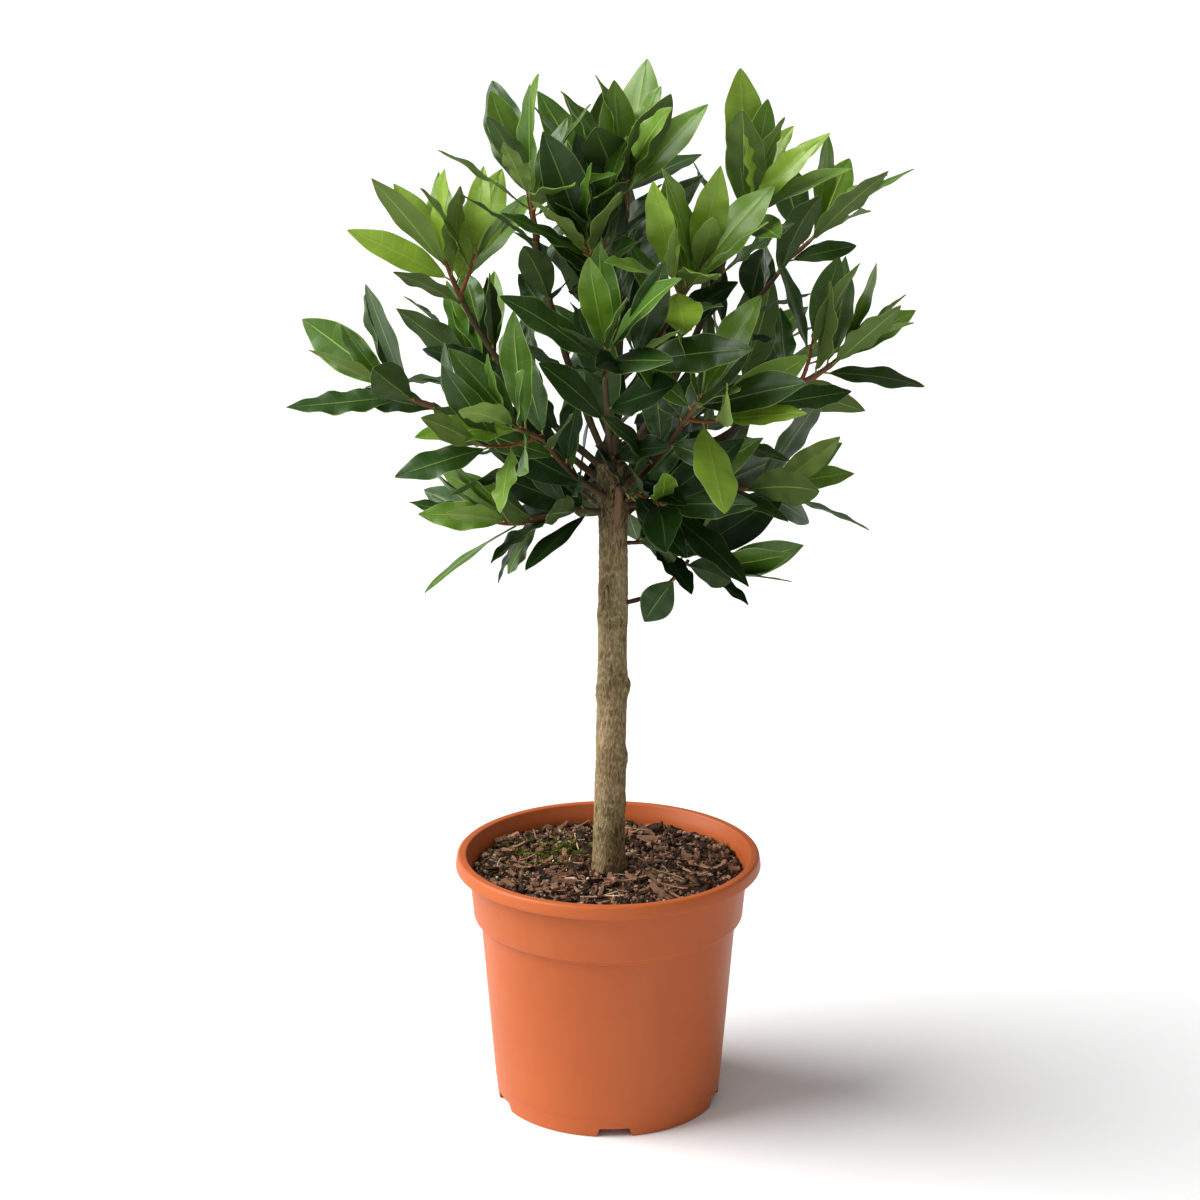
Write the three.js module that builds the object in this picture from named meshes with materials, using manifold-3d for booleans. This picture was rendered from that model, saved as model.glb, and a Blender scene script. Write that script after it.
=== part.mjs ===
// Standard bay topiary in a plastic nursery pot.
// A bare trunk rises from the potting soil, forks at its pruned head, and each bough ends in a
// mass of foliage. Millimetres, +Z up, the origin at the centre of the pot's flat underside.
// +X is to the right of somebody who faces the front of the pot, and +Y points to the back.

import * as THREE from 'three';
import { mergeVertices } from 'three/addons/utils/BufferGeometryUtils.js';
import Module from 'manifold-3d';

const wasm = await Module();
wasm.setup();

// ---------------------------------------------------------------- driving dimensions

const GAP = 0.3; // clearance between neighbouring pieces

const POT = {
  height: 200,
  rimRadius: 118,
  rimHeight: 10,
  mouthRadius: 110,
  collarTop: 107.5, // radius of the band just under the rim
  collarFoot: 104.5, // radius of the band at its lower edge
  collarEdge: 153, // height of the band's lower edge
  wallTop: 98.5, // radius just under the band
  wallTopHeight: 146,
  baseRadius: 87,
  wall: 2.4,
  round: 1, // rounding of the moulded edges
  ledge: 2.6, // step out from the wall to the band above it
  footHeight: 7,
  footWidth: 6,
  floor: 3,
  padRadius: 30, // raised disc in the middle of the underside, level with the feet
  notches: 5,
  notchWidth: 25,
  notchFlare: 3,
  firstNotch: -87, // degrees from +X
  drainRadius: 5,
  drainCircle: 66,
  drainSides: 8,
  segments: 32,
};

const SOIL = {
  level: 184.7,
  seatRadius: 18,
  crest: 1.8,
  rings: [[88, 0.4], [62, 1], [36, 0.8]], // radius, and share of the crest at it
  edgeDrop: 4,
  edgeGap: 1.6,
  unevenness: 1.1,
  waveAcross: 0.071, // radians a millimetre
  waveBack: 0.083,
  waveSkew: 0.12,
};

const TRUNK = {
  foot: 185,
  head: 508,
  radius: 11.2,
  taper: 0.9,
  flare: 2.0,
  flareReach: 26,
  headSwelling: 1.4,
  headSwellingHeight: 492,
  headSwellingReach: 26,
  sway: 3.6, // sideways bow of the axis
  nod: 1.5, // bow towards the front
  bowShare: 0.62, // share of a half wave that the bow runs through
  bowPoints: 7,
  sides: 14,
  steps: 15,
};

// Small swellings where side shoots were pruned off: height, azimuth in degrees, size.
const KNOTS = [
  { height: 334, azimuth: 0, size: 1.6 },
  { height: 330, azimuth: 180, size: 1.2 },
  { height: 277, azimuth: 5, size: 1.4 },
  { height: 250, azimuth: -60, size: 1.5 },
  { height: 410, azimuth: 150, size: 1.0 },
];
const KNOT_REACH = 7;
const KNOT_SHARPNESS = 6;

// The upright stub of a pruned limb in front of the trunk's head.
const STUB = {
  foot: 462,
  bend: 470,
  top: 493,
  lean: 14,
  azimuth: -68,
  radius: 5.2,
  tipRadius: 4.4,
  sides: 10,
  steps: 4,
};

// rise and reach place a bough's bend, as shares of its rise and of its reach.
const BOUGH = { sides: 6, steps: 4, tipShare: 0.55, rise: 0.32, reach: 0.6, youngBelow: 3.5 };

// One entry for each mass of foliage and the bough that carries it. azimuth is in degrees from +X,
// reach is the distance of the mass's centre from the pot's axis, height its height above the
// ground, width and depth are half sizes across and up. fork is the height at which the bough
// leaves the trunk, or from names the bough that it leaves, at a share of that bough's length.
const CROWN = [
  { name: 'far_left', azimuth: -170, reach: 162, height: 586, width: 61, depth: 56, fork: 486, thick: 4.2 },
  { name: 'left_upper', azimuth: 171, reach: 128, height: 662, width: 54, depth: 52, fork: 499, thick: 4.4 },
  { name: 'upper_left', azimuth: -170, reach: 62, height: 722, width: 54, depth: 58, fork: 503, thick: 4.6 },
  { name: 'top', azimuth: 22, reach: 14, height: 733, width: 58, depth: 54, fork: 500, thick: 5.4 },
  { name: 'upper_right', azimuth: -8, reach: 100, height: 716, width: 54, depth: 50, fork: 501, thick: 4.8 },
  { name: 'right_upper', azimuth: 22, reach: 166, height: 682, width: 48, depth: 50, from: 'upper_right', share: 0.4, thick: 3.4 },
  { name: 'right', azimuth: -9, reach: 166, height: 600, width: 54, depth: 58, fork: 492, thick: 4.6 },
  { name: 'lower_right', azimuth: 4, reach: 118, height: 502, width: 56, depth: 40, fork: 474, thick: 3.8 },
  { name: 'low_right', azimuth: -8, reach: 74, height: 450, width: 50, depth: 30, fork: 447, thick: 2.6 },
  { name: 'left_lower', azimuth: -157, reach: 74, height: 490, width: 60, depth: 46, fork: 470, thick: 4.2 },
  { name: 'centre_left', azimuth: -124, reach: 112, height: 574, width: 58, depth: 55, fork: 480, thick: 4.0 },
  { name: 'centre', azimuth: -92, reach: 122, height: 630, width: 54, depth: 52, fork: 495, thick: 4.2 },
  { name: 'centre_right', azimuth: -56, reach: 118, height: 588, width: 54, depth: 52, fork: 484, thick: 4.0 },
  { name: 'mid_upper', azimuth: -52, reach: 98, height: 672, width: 50, depth: 50, from: 'top', share: 0.3, thick: 3.4 },
  { name: 'heart', azimuth: -102, reach: 62, height: 690, width: 46, depth: 44, from: 'top', share: 0.5, thick: 3.0 },
  { name: 'low_centre', azimuth: -50, reach: 58, height: 508, width: 40, depth: 32, fork: 478, thick: 2.8 },
  { name: 'back_left', azimuth: 138, reach: 132, height: 574, width: 62, depth: 58, fork: 489, thick: 4.4 },
  { name: 'back', azimuth: 92, reach: 134, height: 628, width: 62, depth: 58, fork: 497, thick: 4.6 },
  { name: 'back_right', azimuth: 45, reach: 138, height: 580, width: 62, depth: 58, fork: 482, thick: 4.4 },
  { name: 'back_upper', azimuth: 96, reach: 84, height: 714, width: 56, depth: 54, from: 'back', share: 0.35, thick: 3.6 },
  { name: 'back_low_left', azimuth: 118, reach: 92, height: 490, width: 56, depth: 42, fork: 468, thick: 3.4 },
  { name: 'back_low_right', azimuth: 58, reach: 96, height: 484, width: 56, depth: 40, fork: 462, thick: 3.4 },
];

const MASS = {
  columns: 10,
  rows: 8,
  lobes: 9,
  core: 0.7, // size between the lobes, as a share of the half sizes
  lobeSize: 0.42,
  lobeSharpness: 7,
  outward: 0.7, // how strongly the lobes point away from the fork
  roughness: 0.12,
  seed: 41,
  seedStep: 17,
};

// A thin side shoot that leaves the bare trunk low down and climbs to the lowest mass.
const SIDE_SHOOT = {
  fork: 396,
  azimuth: -12,
  reach: 60,
  top: 428,
  bendReach: 37,
  bendRise: 8,
  footRadius: 2.1,
  tipRadius: 1.3,
  sides: 6,
  steps: 5,
};

// ---------------------------------------------------------------- materials

const plastic = () => new THREE.MeshStandardMaterial({ color: 0xd07a48, roughness: 0.45, metalness: 0 });
const potting = () => new THREE.MeshStandardMaterial({ color: 0x3d2b20, roughness: 0.95, metalness: 0 });
const bark = () => new THREE.MeshStandardMaterial({ color: 0x85754f, roughness: 0.85, metalness: 0 });
const youngBark = () => new THREE.MeshStandardMaterial({ color: 0x5e4428, roughness: 0.75, metalness: 0 });
const foliage = () => new THREE.MeshStandardMaterial({ color: 0x2f6b1e, roughness: 0.5, metalness: 0 });

// ---------------------------------------------------------------- helpers

const degrees = THREE.MathUtils.degToRad;
const GOLDEN_ANGLE = 137.5; // degrees between one lobe and the next

function polar(azimuth, reach, height) {
  const angle = degrees(azimuth);
  return new THREE.Vector3(Math.cos(angle) * reach, Math.sin(angle) * reach, height);
}

// A repeatable stream of numbers between 0 and 1.
function stream(seed) {
  let state = seed >>> 0;
  return () => {
    state = (state + 0x6d2b79f5) >>> 0;
    let mixed = Math.imul(state ^ (state >>> 15), 1 | state);
    mixed = (mixed + Math.imul(mixed ^ (mixed >>> 7), 61 | mixed)) ^ mixed;
    return ((mixed ^ (mixed >>> 14)) >>> 0) / 4294967296;
  };
}

// A closed mesh as a solid that can be cut.
function toSolid(geometry) {
  const bare = geometry.clone();
  bare.deleteAttribute('normal');
  bare.deleteAttribute('uv');
  const merged = mergeVertices(bare, 1e-4);
  return new wasm.Manifold(new wasm.Mesh({
    numProp: 3,
    vertProperties: new Float32Array(merged.attributes.position.array),
    triVerts: new Uint32Array(merged.index.array),
  }));
}

// The largest piece of a solid, as a mesh.
function toGeometry(solid) {
  const pieces = solid.decompose().sort((a, b) => b.volume() - a.volume());
  const { vertProperties, triVerts } = pieces[0].getMesh();
  const geometry = new THREE.BufferGeometry();
  geometry.setAttribute('position', new THREE.BufferAttribute(new Float32Array(vertProperties), 3));
  geometry.setIndex(new THREE.BufferAttribute(new Uint32Array(triVerts), 1));
  geometry.computeVertexNormals();
  return geometry;
}

// A profile of (radius, height) pairs, closed on the axis, turned about Z.
function turned(profile, segments) {
  const points = profile.map(([radius, height]) => new THREE.Vector2(radius, height));
  return new THREE.LatheGeometry(points, segments).rotateX(Math.PI / 2);
}

// A tapering limb along a curve, with flat ends. radiusAt takes the share of the length, and the
// angle round the limb.
function limb(curve, radiusAt, steps, sides) {
  const frames = curve.computeFrenetFrames(steps, false);
  const positions = [];
  const faces = [];
  for (let ring = 0; ring <= steps; ring += 1) {
    const centre = curve.getPointAt(ring / steps);
    for (let side = 0; side < sides; side += 1) {
      const angle = (side / sides) * 2 * Math.PI;
      const radius = radiusAt(ring / steps, angle);
      const point = centre.clone()
        .addScaledVector(frames.normals[ring], Math.cos(angle) * radius)
        .addScaledVector(frames.binormals[ring], Math.sin(angle) * radius);
      positions.push(point.x, point.y, point.z);
    }
  }
  for (let ring = 0; ring < steps; ring += 1) {
    for (let side = 0; side < sides; side += 1) {
      const next = (side + 1) % sides;
      const a = ring * sides + side;
      const b = ring * sides + next;
      faces.push(a, b, a + sides, b, b + sides, a + sides);
    }
  }
  const footCentre = positions.length / 3;
  const tipCentre = footCentre + 1;
  positions.push(...curve.getPointAt(0).toArray(), ...curve.getPointAt(1).toArray());
  for (let side = 0; side < sides; side += 1) {
    const next = (side + 1) % sides;
    faces.push(footCentre, next, side);
    faces.push(tipCentre, steps * sides + side, steps * sides + next);
  }
  const geometry = new THREE.BufferGeometry();
  geometry.setAttribute('position', new THREE.BufferAttribute(new Float32Array(positions), 3));
  geometry.setIndex(faces);
  return geometry;
}

// ---------------------------------------------------------------- pot and soil

// The pot's inside, from the mouth down to the floor.
function potInside(inset) {
  const wall = POT.wall + inset;
  const floorTop = POT.footHeight + POT.floor + inset;
  return [
    [POT.collarTop - wall - POT.round, POT.height - POT.rimHeight - POT.footHeight],
    [POT.collarFoot - wall, POT.collarEdge + POT.round],
    [POT.wallTop - wall, POT.wallTopHeight],
    [POT.baseRadius - wall + POT.round, floorTop + 3 * POT.round],
    [POT.baseRadius - wall - 2 * POT.round, floorTop],
    [POT.padRadius + POT.floor - inset, floorTop],
    [POT.padRadius - inset, POT.floor + inset],
    [0, POT.floor + inset],
  ];
}

// The pot's outside from the middle of its underside up to the mouth, and then its inside.
function potProfile() {
  const footInside = POT.baseRadius - POT.footWidth;
  const rimFoot = POT.height - POT.rimHeight;
  const round = POT.round;
  return [
    [0, 0],
    [POT.padRadius, 0],
    [POT.padRadius + POT.floor, POT.footHeight],
    [footInside - round, POT.footHeight],
    [footInside, 0],
    [POT.baseRadius - round, 0],
    [POT.baseRadius, round],
    [POT.wallTop, POT.wallTopHeight],
    [POT.wallTop + POT.ledge, POT.wallTopHeight + POT.ledge / 2],
    [POT.collarFoot - round, POT.collarEdge - 2 * round],
    [POT.collarFoot, POT.collarEdge + round],
    [POT.collarTop, rimFoot - 4 * round],
    [POT.collarTop + round, rimFoot - round],
    [POT.rimRadius - round / 2, rimFoot],
    [POT.rimRadius, rimFoot + round],
    [POT.rimRadius - round, POT.height - 3 * round],
    [POT.rimRadius - 3 * round, POT.height - round / 2],
    [POT.rimRadius - 5 * round, POT.height],
    [POT.mouthRadius, POT.height - round],
    [POT.mouthRadius - POT.wall, POT.height - 5 * round],
    ...potInside(0),
  ];
}

// A wedge that opens one drainage slot through the foot ring.
function notchCutter() {
  const wide = (POT.notchWidth + POT.notchFlare) / 2;
  const narrow = (POT.notchWidth - POT.notchFlare) / 2;
  const top = POT.footHeight + POT.round / 10;
  const outline = new THREE.Shape();
  outline.moveTo(-wide, -POT.round);
  outline.lineTo(wide, -POT.round);
  outline.lineTo(narrow, top);
  outline.lineTo(-narrow, top);
  outline.closePath();
  const length = 3 * POT.footWidth;
  const cutter = new THREE.ExtrudeGeometry(outline, { depth: length, bevelEnabled: false });
  // The outline's y becomes height, and the extrusion runs outwards along +X.
  cutter.applyMatrix4(new THREE.Matrix4().set(0, 0, 1, 0, 1, 0, 0, 0, 0, 1, 0, 0, 0, 0, 0, 1));
  return cutter.translate(POT.baseRadius - 1.5 * POT.footWidth, 0, 0);
}

function drainCutter() {
  const hole = new THREE.CylinderGeometry(POT.drainRadius, POT.drainRadius, 4 * POT.floor, POT.drainSides);
  return hole.rotateX(Math.PI / 2).translate(POT.drainCircle, 0, POT.footHeight);
}

function potGeometry() {
  let body = toSolid(turned(potProfile(), POT.segments));
  for (let i = 0; i < POT.notches; i += 1) {
    const turn = degrees(POT.firstNotch + (i * 360) / POT.notches);
    body = body.subtract(toSolid(notchCutter().rotateZ(turn)));
    body = body.subtract(toSolid(drainCutter().rotateZ(turn)));
  }
  return toGeometry(body);
}

// The soil fills the pot to its level, slightly crowned and uneven, and is flat under the trunk.
function soilGeometry() {
  const underside = potInside(GAP).reverse().slice(0, -1);
  const top = [
    [POT.collarTop - POT.wall - GAP - SOIL.edgeGap, SOIL.level - SOIL.edgeDrop],
    ...SOIL.rings.map(([radius, share]) => [radius, SOIL.level + SOIL.crest * share]),
    [SOIL.seatRadius, SOIL.level],
    [0, SOIL.level],
  ];
  const geometry = turned([...underside, ...top], POT.segments);
  const place = geometry.attributes.position;
  for (let i = 0; i < place.count; i += 1) {
    const x = place.getX(i);
    const y = place.getY(i);
    const radius = Math.hypot(x, y);
    const onTop = place.getZ(i) > SOIL.level - 1;
    if (onTop && radius > SOIL.seatRadius + 1) {
      const level = Math.sin(x * SOIL.waveAcross + 1) * Math.cos(y * SOIL.waveBack);
      const skew = Math.sin((x - y) * SOIL.waveSkew) / 2;
      place.setZ(i, place.getZ(i) + SOIL.unevenness * (level + skew));
    }
  }
  return toGeometry(toSolid(geometry));
}

// ---------------------------------------------------------------- trunk and boughs

function trunkCurve() {
  const points = [];
  for (let i = 0; i < TRUNK.bowPoints; i += 1) {
    const share = i / (TRUNK.bowPoints - 1);
    const bow = Math.sin(share * Math.PI * TRUNK.bowShare);
    const height = THREE.MathUtils.lerp(TRUNK.foot, TRUNK.head, share);
    points.push(new THREE.Vector3(TRUNK.sway * bow, -TRUNK.nod * bow * share, height));
  }
  return new THREE.CatmullRomCurve3(points);
}

function trunkRadius(share, angle, inflate) {
  const height = THREE.MathUtils.lerp(TRUNK.foot, TRUNK.head, share);
  const flare = TRUNK.flare * Math.exp(-(height - TRUNK.foot) / TRUNK.flareReach);
  const fromHead = (height - TRUNK.headSwellingHeight) / TRUNK.headSwellingReach;
  const swelling = TRUNK.headSwelling * Math.exp(-(fromHead ** 2));
  let radius = TRUNK.radius - TRUNK.taper * share + flare + swelling + inflate;
  for (const knot of KNOTS) {
    const along = Math.exp(-(((height - knot.height) / KNOT_REACH) ** 2));
    const round = Math.max(0, Math.cos(angle - degrees(knot.azimuth))) ** KNOT_SHARPNESS;
    radius += knot.size * along * round;
  }
  return radius;
}

// The trunk's own rings are level, so that both its ends are flat cuts.
function trunkGeometry(inflate) {
  const curve = trunkCurve();
  const geometry = limb(curve, (share, angle) => trunkRadius(share, angle, inflate), TRUNK.steps, TRUNK.sides);
  const place = geometry.attributes.position;
  const ring = TRUNK.sides;
  for (let i = 0; i < place.count - 2; i += 1) {
    const share = Math.floor(i / ring) / TRUNK.steps;
    const angle = ((i % ring) / ring) * 2 * Math.PI;
    const centre = curve.getPointAt(share);
    const radius = trunkRadius(share, angle, inflate);
    place.setXYZ(i, centre.x + radius * Math.cos(angle), centre.y + radius * Math.sin(angle), centre.z);
  }
  return geometry;
}

function trunkPoint(height) {
  const share = (height - TRUNK.foot) / (TRUNK.head - TRUNK.foot);
  return trunkCurve().getPointAt(Math.min(1, share));
}

// Each bough leaves its parent sideways and turns up towards the middle of its mass.
function boughCurves() {
  const curves = new Map();
  for (const mass of CROWN) {
    const start = mass.from ? curves.get(mass.from).getPointAt(mass.share) : trunkPoint(mass.fork);
    const end = polar(mass.azimuth, mass.reach, mass.height);
    const bend = new THREE.Vector3(
      THREE.MathUtils.lerp(start.x, end.x, BOUGH.reach),
      THREE.MathUtils.lerp(start.y, end.y, BOUGH.reach),
      THREE.MathUtils.lerp(start.z, end.z, BOUGH.rise),
    );
    curves.set(mass.name, new THREE.QuadraticBezierCurve3(start, bend, end));
  }
  return curves;
}

function boughSolid(curve, thick, inflate) {
  const radiusAt = (share) => thick * (1 - (1 - BOUGH.tipShare) * share) + inflate;
  return toSolid(limb(curve, radiusAt, BOUGH.steps, BOUGH.sides));
}

function stubSolid(inflate) {
  const foot = trunkPoint(STUB.foot);
  const top = polar(STUB.azimuth, STUB.lean, STUB.top).add(new THREE.Vector3(foot.x, foot.y, 0));
  const bend = polar(STUB.azimuth, STUB.lean, STUB.bend).add(new THREE.Vector3(foot.x, foot.y, 0));
  const radiusAt = (share) => THREE.MathUtils.lerp(STUB.radius, STUB.tipRadius, share) + inflate;
  const curve = new THREE.QuadraticBezierCurve3(foot, bend, top);
  return toSolid(limb(curve, radiusAt, STUB.steps, STUB.sides));
}

function sideShootSolid(inflate) {
  const foot = trunkPoint(SIDE_SHOOT.fork);
  const top = polar(SIDE_SHOOT.azimuth, SIDE_SHOOT.reach, SIDE_SHOOT.top);
  const bend = polar(SIDE_SHOOT.azimuth, SIDE_SHOOT.bendReach, SIDE_SHOOT.fork + SIDE_SHOOT.bendRise);
  const { footRadius, tipRadius } = SIDE_SHOOT;
  const radiusAt = (share) => THREE.MathUtils.lerp(footRadius, tipRadius, share) + inflate;
  const curve = new THREE.QuadraticBezierCurve3(foot, bend, top);
  return toSolid(limb(curve, radiusAt, SIDE_SHOOT.steps, SIDE_SHOOT.sides));
}

// ---------------------------------------------------------------- masses of foliage

// An uneven closed lump with blunt lobes where its sprays reach out.
function massSolid(mass, seed, inflate) {
  const random = stream(seed);
  const centre = polar(mass.azimuth, mass.reach, mass.height);
  const outward = centre.clone().sub(trunkPoint(TRUNK.head)).normalize();
  const lobes = [];
  for (let i = 0; i < MASS.lobes; i += 1) {
    const up = 1 - (2 * (i + 0.5)) / MASS.lobes;
    const turn = degrees(GOLDEN_ANGLE * i) + random();
    const flat = Math.sqrt(1 - up * up);
    const lobe = new THREE.Vector3(flat * Math.cos(turn), flat * Math.sin(turn), up);
    lobes.push(lobe.addScaledVector(outward, MASS.outward).normalize());
  }
  const sphere = new THREE.SphereGeometry(1, MASS.columns, MASS.rows).rotateX(Math.PI / 2);
  sphere.deleteAttribute('normal');
  sphere.deleteAttribute('uv');
  const geometry = mergeVertices(sphere, 1e-4);
  const place = geometry.attributes.position;
  const ray = new THREE.Vector3();
  for (let i = 0; i < place.count; i += 1) {
    ray.fromBufferAttribute(place, i);
    let swell = MASS.core + MASS.roughness * (random() - 0.5);
    for (const lobe of lobes) {
      swell += MASS.lobeSize * Math.max(0, ray.dot(lobe)) ** MASS.lobeSharpness;
    }
    const across = mass.width * swell + inflate;
    const up = mass.depth * swell + inflate;
    place.setXYZ(i, centre.x + ray.x * across, centre.y + ray.y * across, centre.z + ray.z * up);
  }
  return toSolid(geometry);
}

// ---------------------------------------------------------------- assembly

const topiary = new THREE.Group();

function add(name, geometry, material) {
  const mesh = new THREE.Mesh(geometry, material);
  mesh.name = name;
  topiary.add(mesh);
}

add('pot', potGeometry(), plastic());
add('soil', soilGeometry(), potting());
add('trunk', toGeometry(toSolid(trunkGeometry(0))), bark());

const trunkRoom = toSolid(trunkGeometry(GAP));
const headRoom = trunkRoom.add(trunkRoom.translate(0, 0, GAP)); // also clears the flat head
const curves = boughCurves();
const seedOf = (index) => MASS.seed + MASS.seedStep * index;

// Wood, in order: every limb is cut back by the limbs before it and by its own mass.
let woodRoom = headRoom;
add('pruned_stub', toGeometry(stubSolid(0).subtract(woodRoom)), bark());
woodRoom = woodRoom.add(stubSolid(GAP));

CROWN.forEach((mass, index) => {
  const curve = curves.get(mass.name);
  const own = massSolid(mass, seedOf(index), GAP);
  const bare = boughSolid(curve, mass.thick, 0).subtract(woodRoom).subtract(own);
  add(`bough_${mass.name}`, toGeometry(bare), mass.thick > BOUGH.youngBelow ? bark() : youngBark());
  woodRoom = woodRoom.add(boughSolid(curve, mass.thick, GAP).subtract(own));
});

const lowestIndex = CROWN.findIndex((mass) => mass.name === 'low_right');
const lowest = massSolid(CROWN[lowestIndex], seedOf(lowestIndex), GAP);
add('side_shoot', toGeometry(sideShootSolid(0).subtract(woodRoom).subtract(lowest)), youngBark());
woodRoom = woodRoom.add(sideShootSolid(GAP).subtract(lowest));

// Foliage, in order: every mass is cut round the wood and round the masses before it.
let crownRoom = woodRoom;
CROWN.forEach((mass, index) => {
  const body = massSolid(mass, seedOf(index), 0).subtract(crownRoom);
  add(`leaf_mass_${mass.name}`, toGeometry(body), foliage());
  crownRoom = crownRoom.add(massSolid(mass, seedOf(index), GAP));
});

export default topiary;
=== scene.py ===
"""A standard bay topiary in a plastic nursery pot: the looks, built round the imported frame.

Metres, +Z up, the pot stands at the origin. Wood and leaves grow from the frame's boughs and masses
by a seeded branching rule: bough, shoot, leaves at the golden angle, buds.
"""

import math
import random
from itertools import combinations

import bpy
import numpy as np
from mathutils import Matrix, Vector, noise


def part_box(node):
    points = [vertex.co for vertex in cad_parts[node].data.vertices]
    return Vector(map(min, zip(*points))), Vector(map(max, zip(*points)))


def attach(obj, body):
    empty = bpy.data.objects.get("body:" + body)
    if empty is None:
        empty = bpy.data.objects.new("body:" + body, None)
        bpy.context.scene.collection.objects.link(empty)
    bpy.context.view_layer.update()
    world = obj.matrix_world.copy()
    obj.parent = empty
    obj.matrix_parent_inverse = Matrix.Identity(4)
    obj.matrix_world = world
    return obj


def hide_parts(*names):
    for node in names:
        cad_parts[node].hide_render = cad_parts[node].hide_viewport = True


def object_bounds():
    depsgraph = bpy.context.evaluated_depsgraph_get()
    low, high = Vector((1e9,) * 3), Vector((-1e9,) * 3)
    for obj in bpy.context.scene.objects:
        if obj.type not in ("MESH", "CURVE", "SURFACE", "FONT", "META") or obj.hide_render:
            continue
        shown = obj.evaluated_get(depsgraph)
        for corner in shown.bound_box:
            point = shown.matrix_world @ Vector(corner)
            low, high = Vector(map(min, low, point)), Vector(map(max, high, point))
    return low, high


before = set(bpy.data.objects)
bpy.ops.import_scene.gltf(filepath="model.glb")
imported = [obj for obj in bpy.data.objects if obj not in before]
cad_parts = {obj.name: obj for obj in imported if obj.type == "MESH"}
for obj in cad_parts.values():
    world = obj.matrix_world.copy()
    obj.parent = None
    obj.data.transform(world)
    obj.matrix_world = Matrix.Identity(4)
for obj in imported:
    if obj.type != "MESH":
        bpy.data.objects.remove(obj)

CAD_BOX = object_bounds()
MM = 0.001
GOLDEN = math.radians(137.5)
UP = Vector((0, 0, 1))
BODY = "root"

# ---- driving values

CROWN_SEED = 9
SOIL_SEED = 5

# Each mass of foliage: the leaf piece that it belongs to, its number of shoots, and the tone that
# its leaves wander round.
# The tones are painted light and shade: masses at the back, in the middle and low down take dark tones, and
# some at the top and left bright ones.
MASSES = {
    "far_left": ("left", 1, "mid"),
    "left_upper": ("left", 2, "bright"),
    "left_lower": ("left", 2, "mid"),
    "centre_left": ("front", 2, "mid"),
    "upper_left": ("top", 2, "mid"),
    "top": ("top", 2, "mid"),
    "heart": ("top", 2, "mid"),
    "upper_right": ("top", 2, "bright"),
    "mid_upper": ("front", 2, "bright"),
    "centre": ("front", 2, "dark"),
    "centre_right": ("front", 2, "mid"),
    "low_centre": ("front", 1, "dark"),
    "right_upper": ("right", 1, "mid"),
    "right": ("right", 2, "mid"),
    "lower_right": ("right", 1, "mid"),
    "low_right": ("right", 1, "dark"),
    "back_left": ("back", 2, "dark"),
    "back": ("back", 2, "dark"),
    "back_right": ("back", 2, "dark"),
    "back_upper": ("back", 2, "mid"),
    "back_low_left": ("back", 2, "dark"),
    "back_low_right": ("back", 2, "dark"),
}

# Where most light comes from, and how strongly leaves turn their upper faces to it.
LIGHT_SIDE = Vector((-0.5, -0.7, 0.5)).normalized()
LIGHT_PULL = 0.8

# About how low the leaves of the crown may hang.
HEM = 422 * MM

LEAF_LENGTH = (72 * MM, 94 * MM)
LEAF_ASPECT = (0.31, 0.39)
LEAF_THICKNESS = 0.45 * MM
PETIOLE = 6 * MM
LEAVES_ON_MAIN = 7
LEAVES_ON_SIDE = 4
LEAVES_ON_BOUGH = 7
VEINS = 8

# ---- mesh helpers


def mesh_piece(name, vertices, faces, materials, face_slots=None, smooth=True, sharp=None):
    """A mesh object in the scene; sharp is the angle in degrees above which an edge is shaded sharp."""
    mesh = bpy.data.meshes.new(name)
    mesh.from_pydata(np.asarray(vertices).tolist(), [], faces)
    for material in materials:
        mesh.materials.append(material)
    if face_slots is not None:
        mesh.polygons.foreach_set("material_index", np.asarray(face_slots, np.int32))
    mesh.polygons.foreach_set("use_smooth", np.full(len(mesh.polygons), smooth))
    if sharp is not None:
        mesh.set_sharp_from_angle(angle=math.radians(sharp))
    mesh.update()
    piece = bpy.data.objects.new(name, mesh)
    bpy.context.scene.collection.objects.link(piece)
    return piece


def store_relief(piece, values):
    """Stores a value from 0, low, to 1, high, at each vertex, for the material to read."""
    layer = piece.data.attributes.new("relief", "FLOAT", "POINT")
    layer.data.foreach_set("value", values)


def settle(piece, slot, *nodes):
    """Puts a piece on the plant's one body and hides the frame nodes that it stands for. The slot is not
    used.
    """
    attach(piece, BODY)
    if nodes:
        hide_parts(*nodes)


class Batch:
    """Gathers many small shapes into one mesh."""

    def __init__(self):
        self.vertices = []
        self.faces = []
        self.slots = []
        self.count = 0

    def add(self, vertices, faces, slots):
        """Adds a shape; slots is one material number, or a list of one for each face."""
        self.vertices.append(np.asarray(vertices, float))
        self.faces.extend([[index + self.count for index in face] for face in faces])
        if isinstance(slots, int):
            slots = [slots] * len(faces)
        self.slots.extend(slots)
        self.count += len(vertices)

    def piece(self, name, materials, **options):
        return mesh_piece(name, np.concatenate(self.vertices), self.faces, materials, self.slots, **options)


# How far a tube's closed ends bulge, as shares of the radius there.
FOOT_BULGE = 0.2
TIP_BULGE = 0.6


def frame_along(points):
    """A tangent and a side vector at each point of a line, with no sudden twist."""
    tangents = []
    for i in range(len(points)):
        before = points[max(0, i - 1)]
        after = points[min(len(points) - 1, i + 1)]
        tangents.append((after - before).normalized())
    side = tangents[0].orthogonal().normalized()
    sides = []
    for tangent in tangents:
        side = (side - tangent * side.dot(tangent)).normalized()
        sides.append(side)
    return tangents, sides


def rings_of_quads(rings, sides, inward=False):
    """Quads between one ring of vertices and the next, all the way round."""
    faces = []
    for i in range(rings - 1):
        for k in range(sides):
            a = i * sides + k
            b = i * sides + (k + 1) % sides
            faces.append((a, a + sides, b + sides, b) if inward else (a, b, b + sides, a + sides))
    return faces


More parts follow.
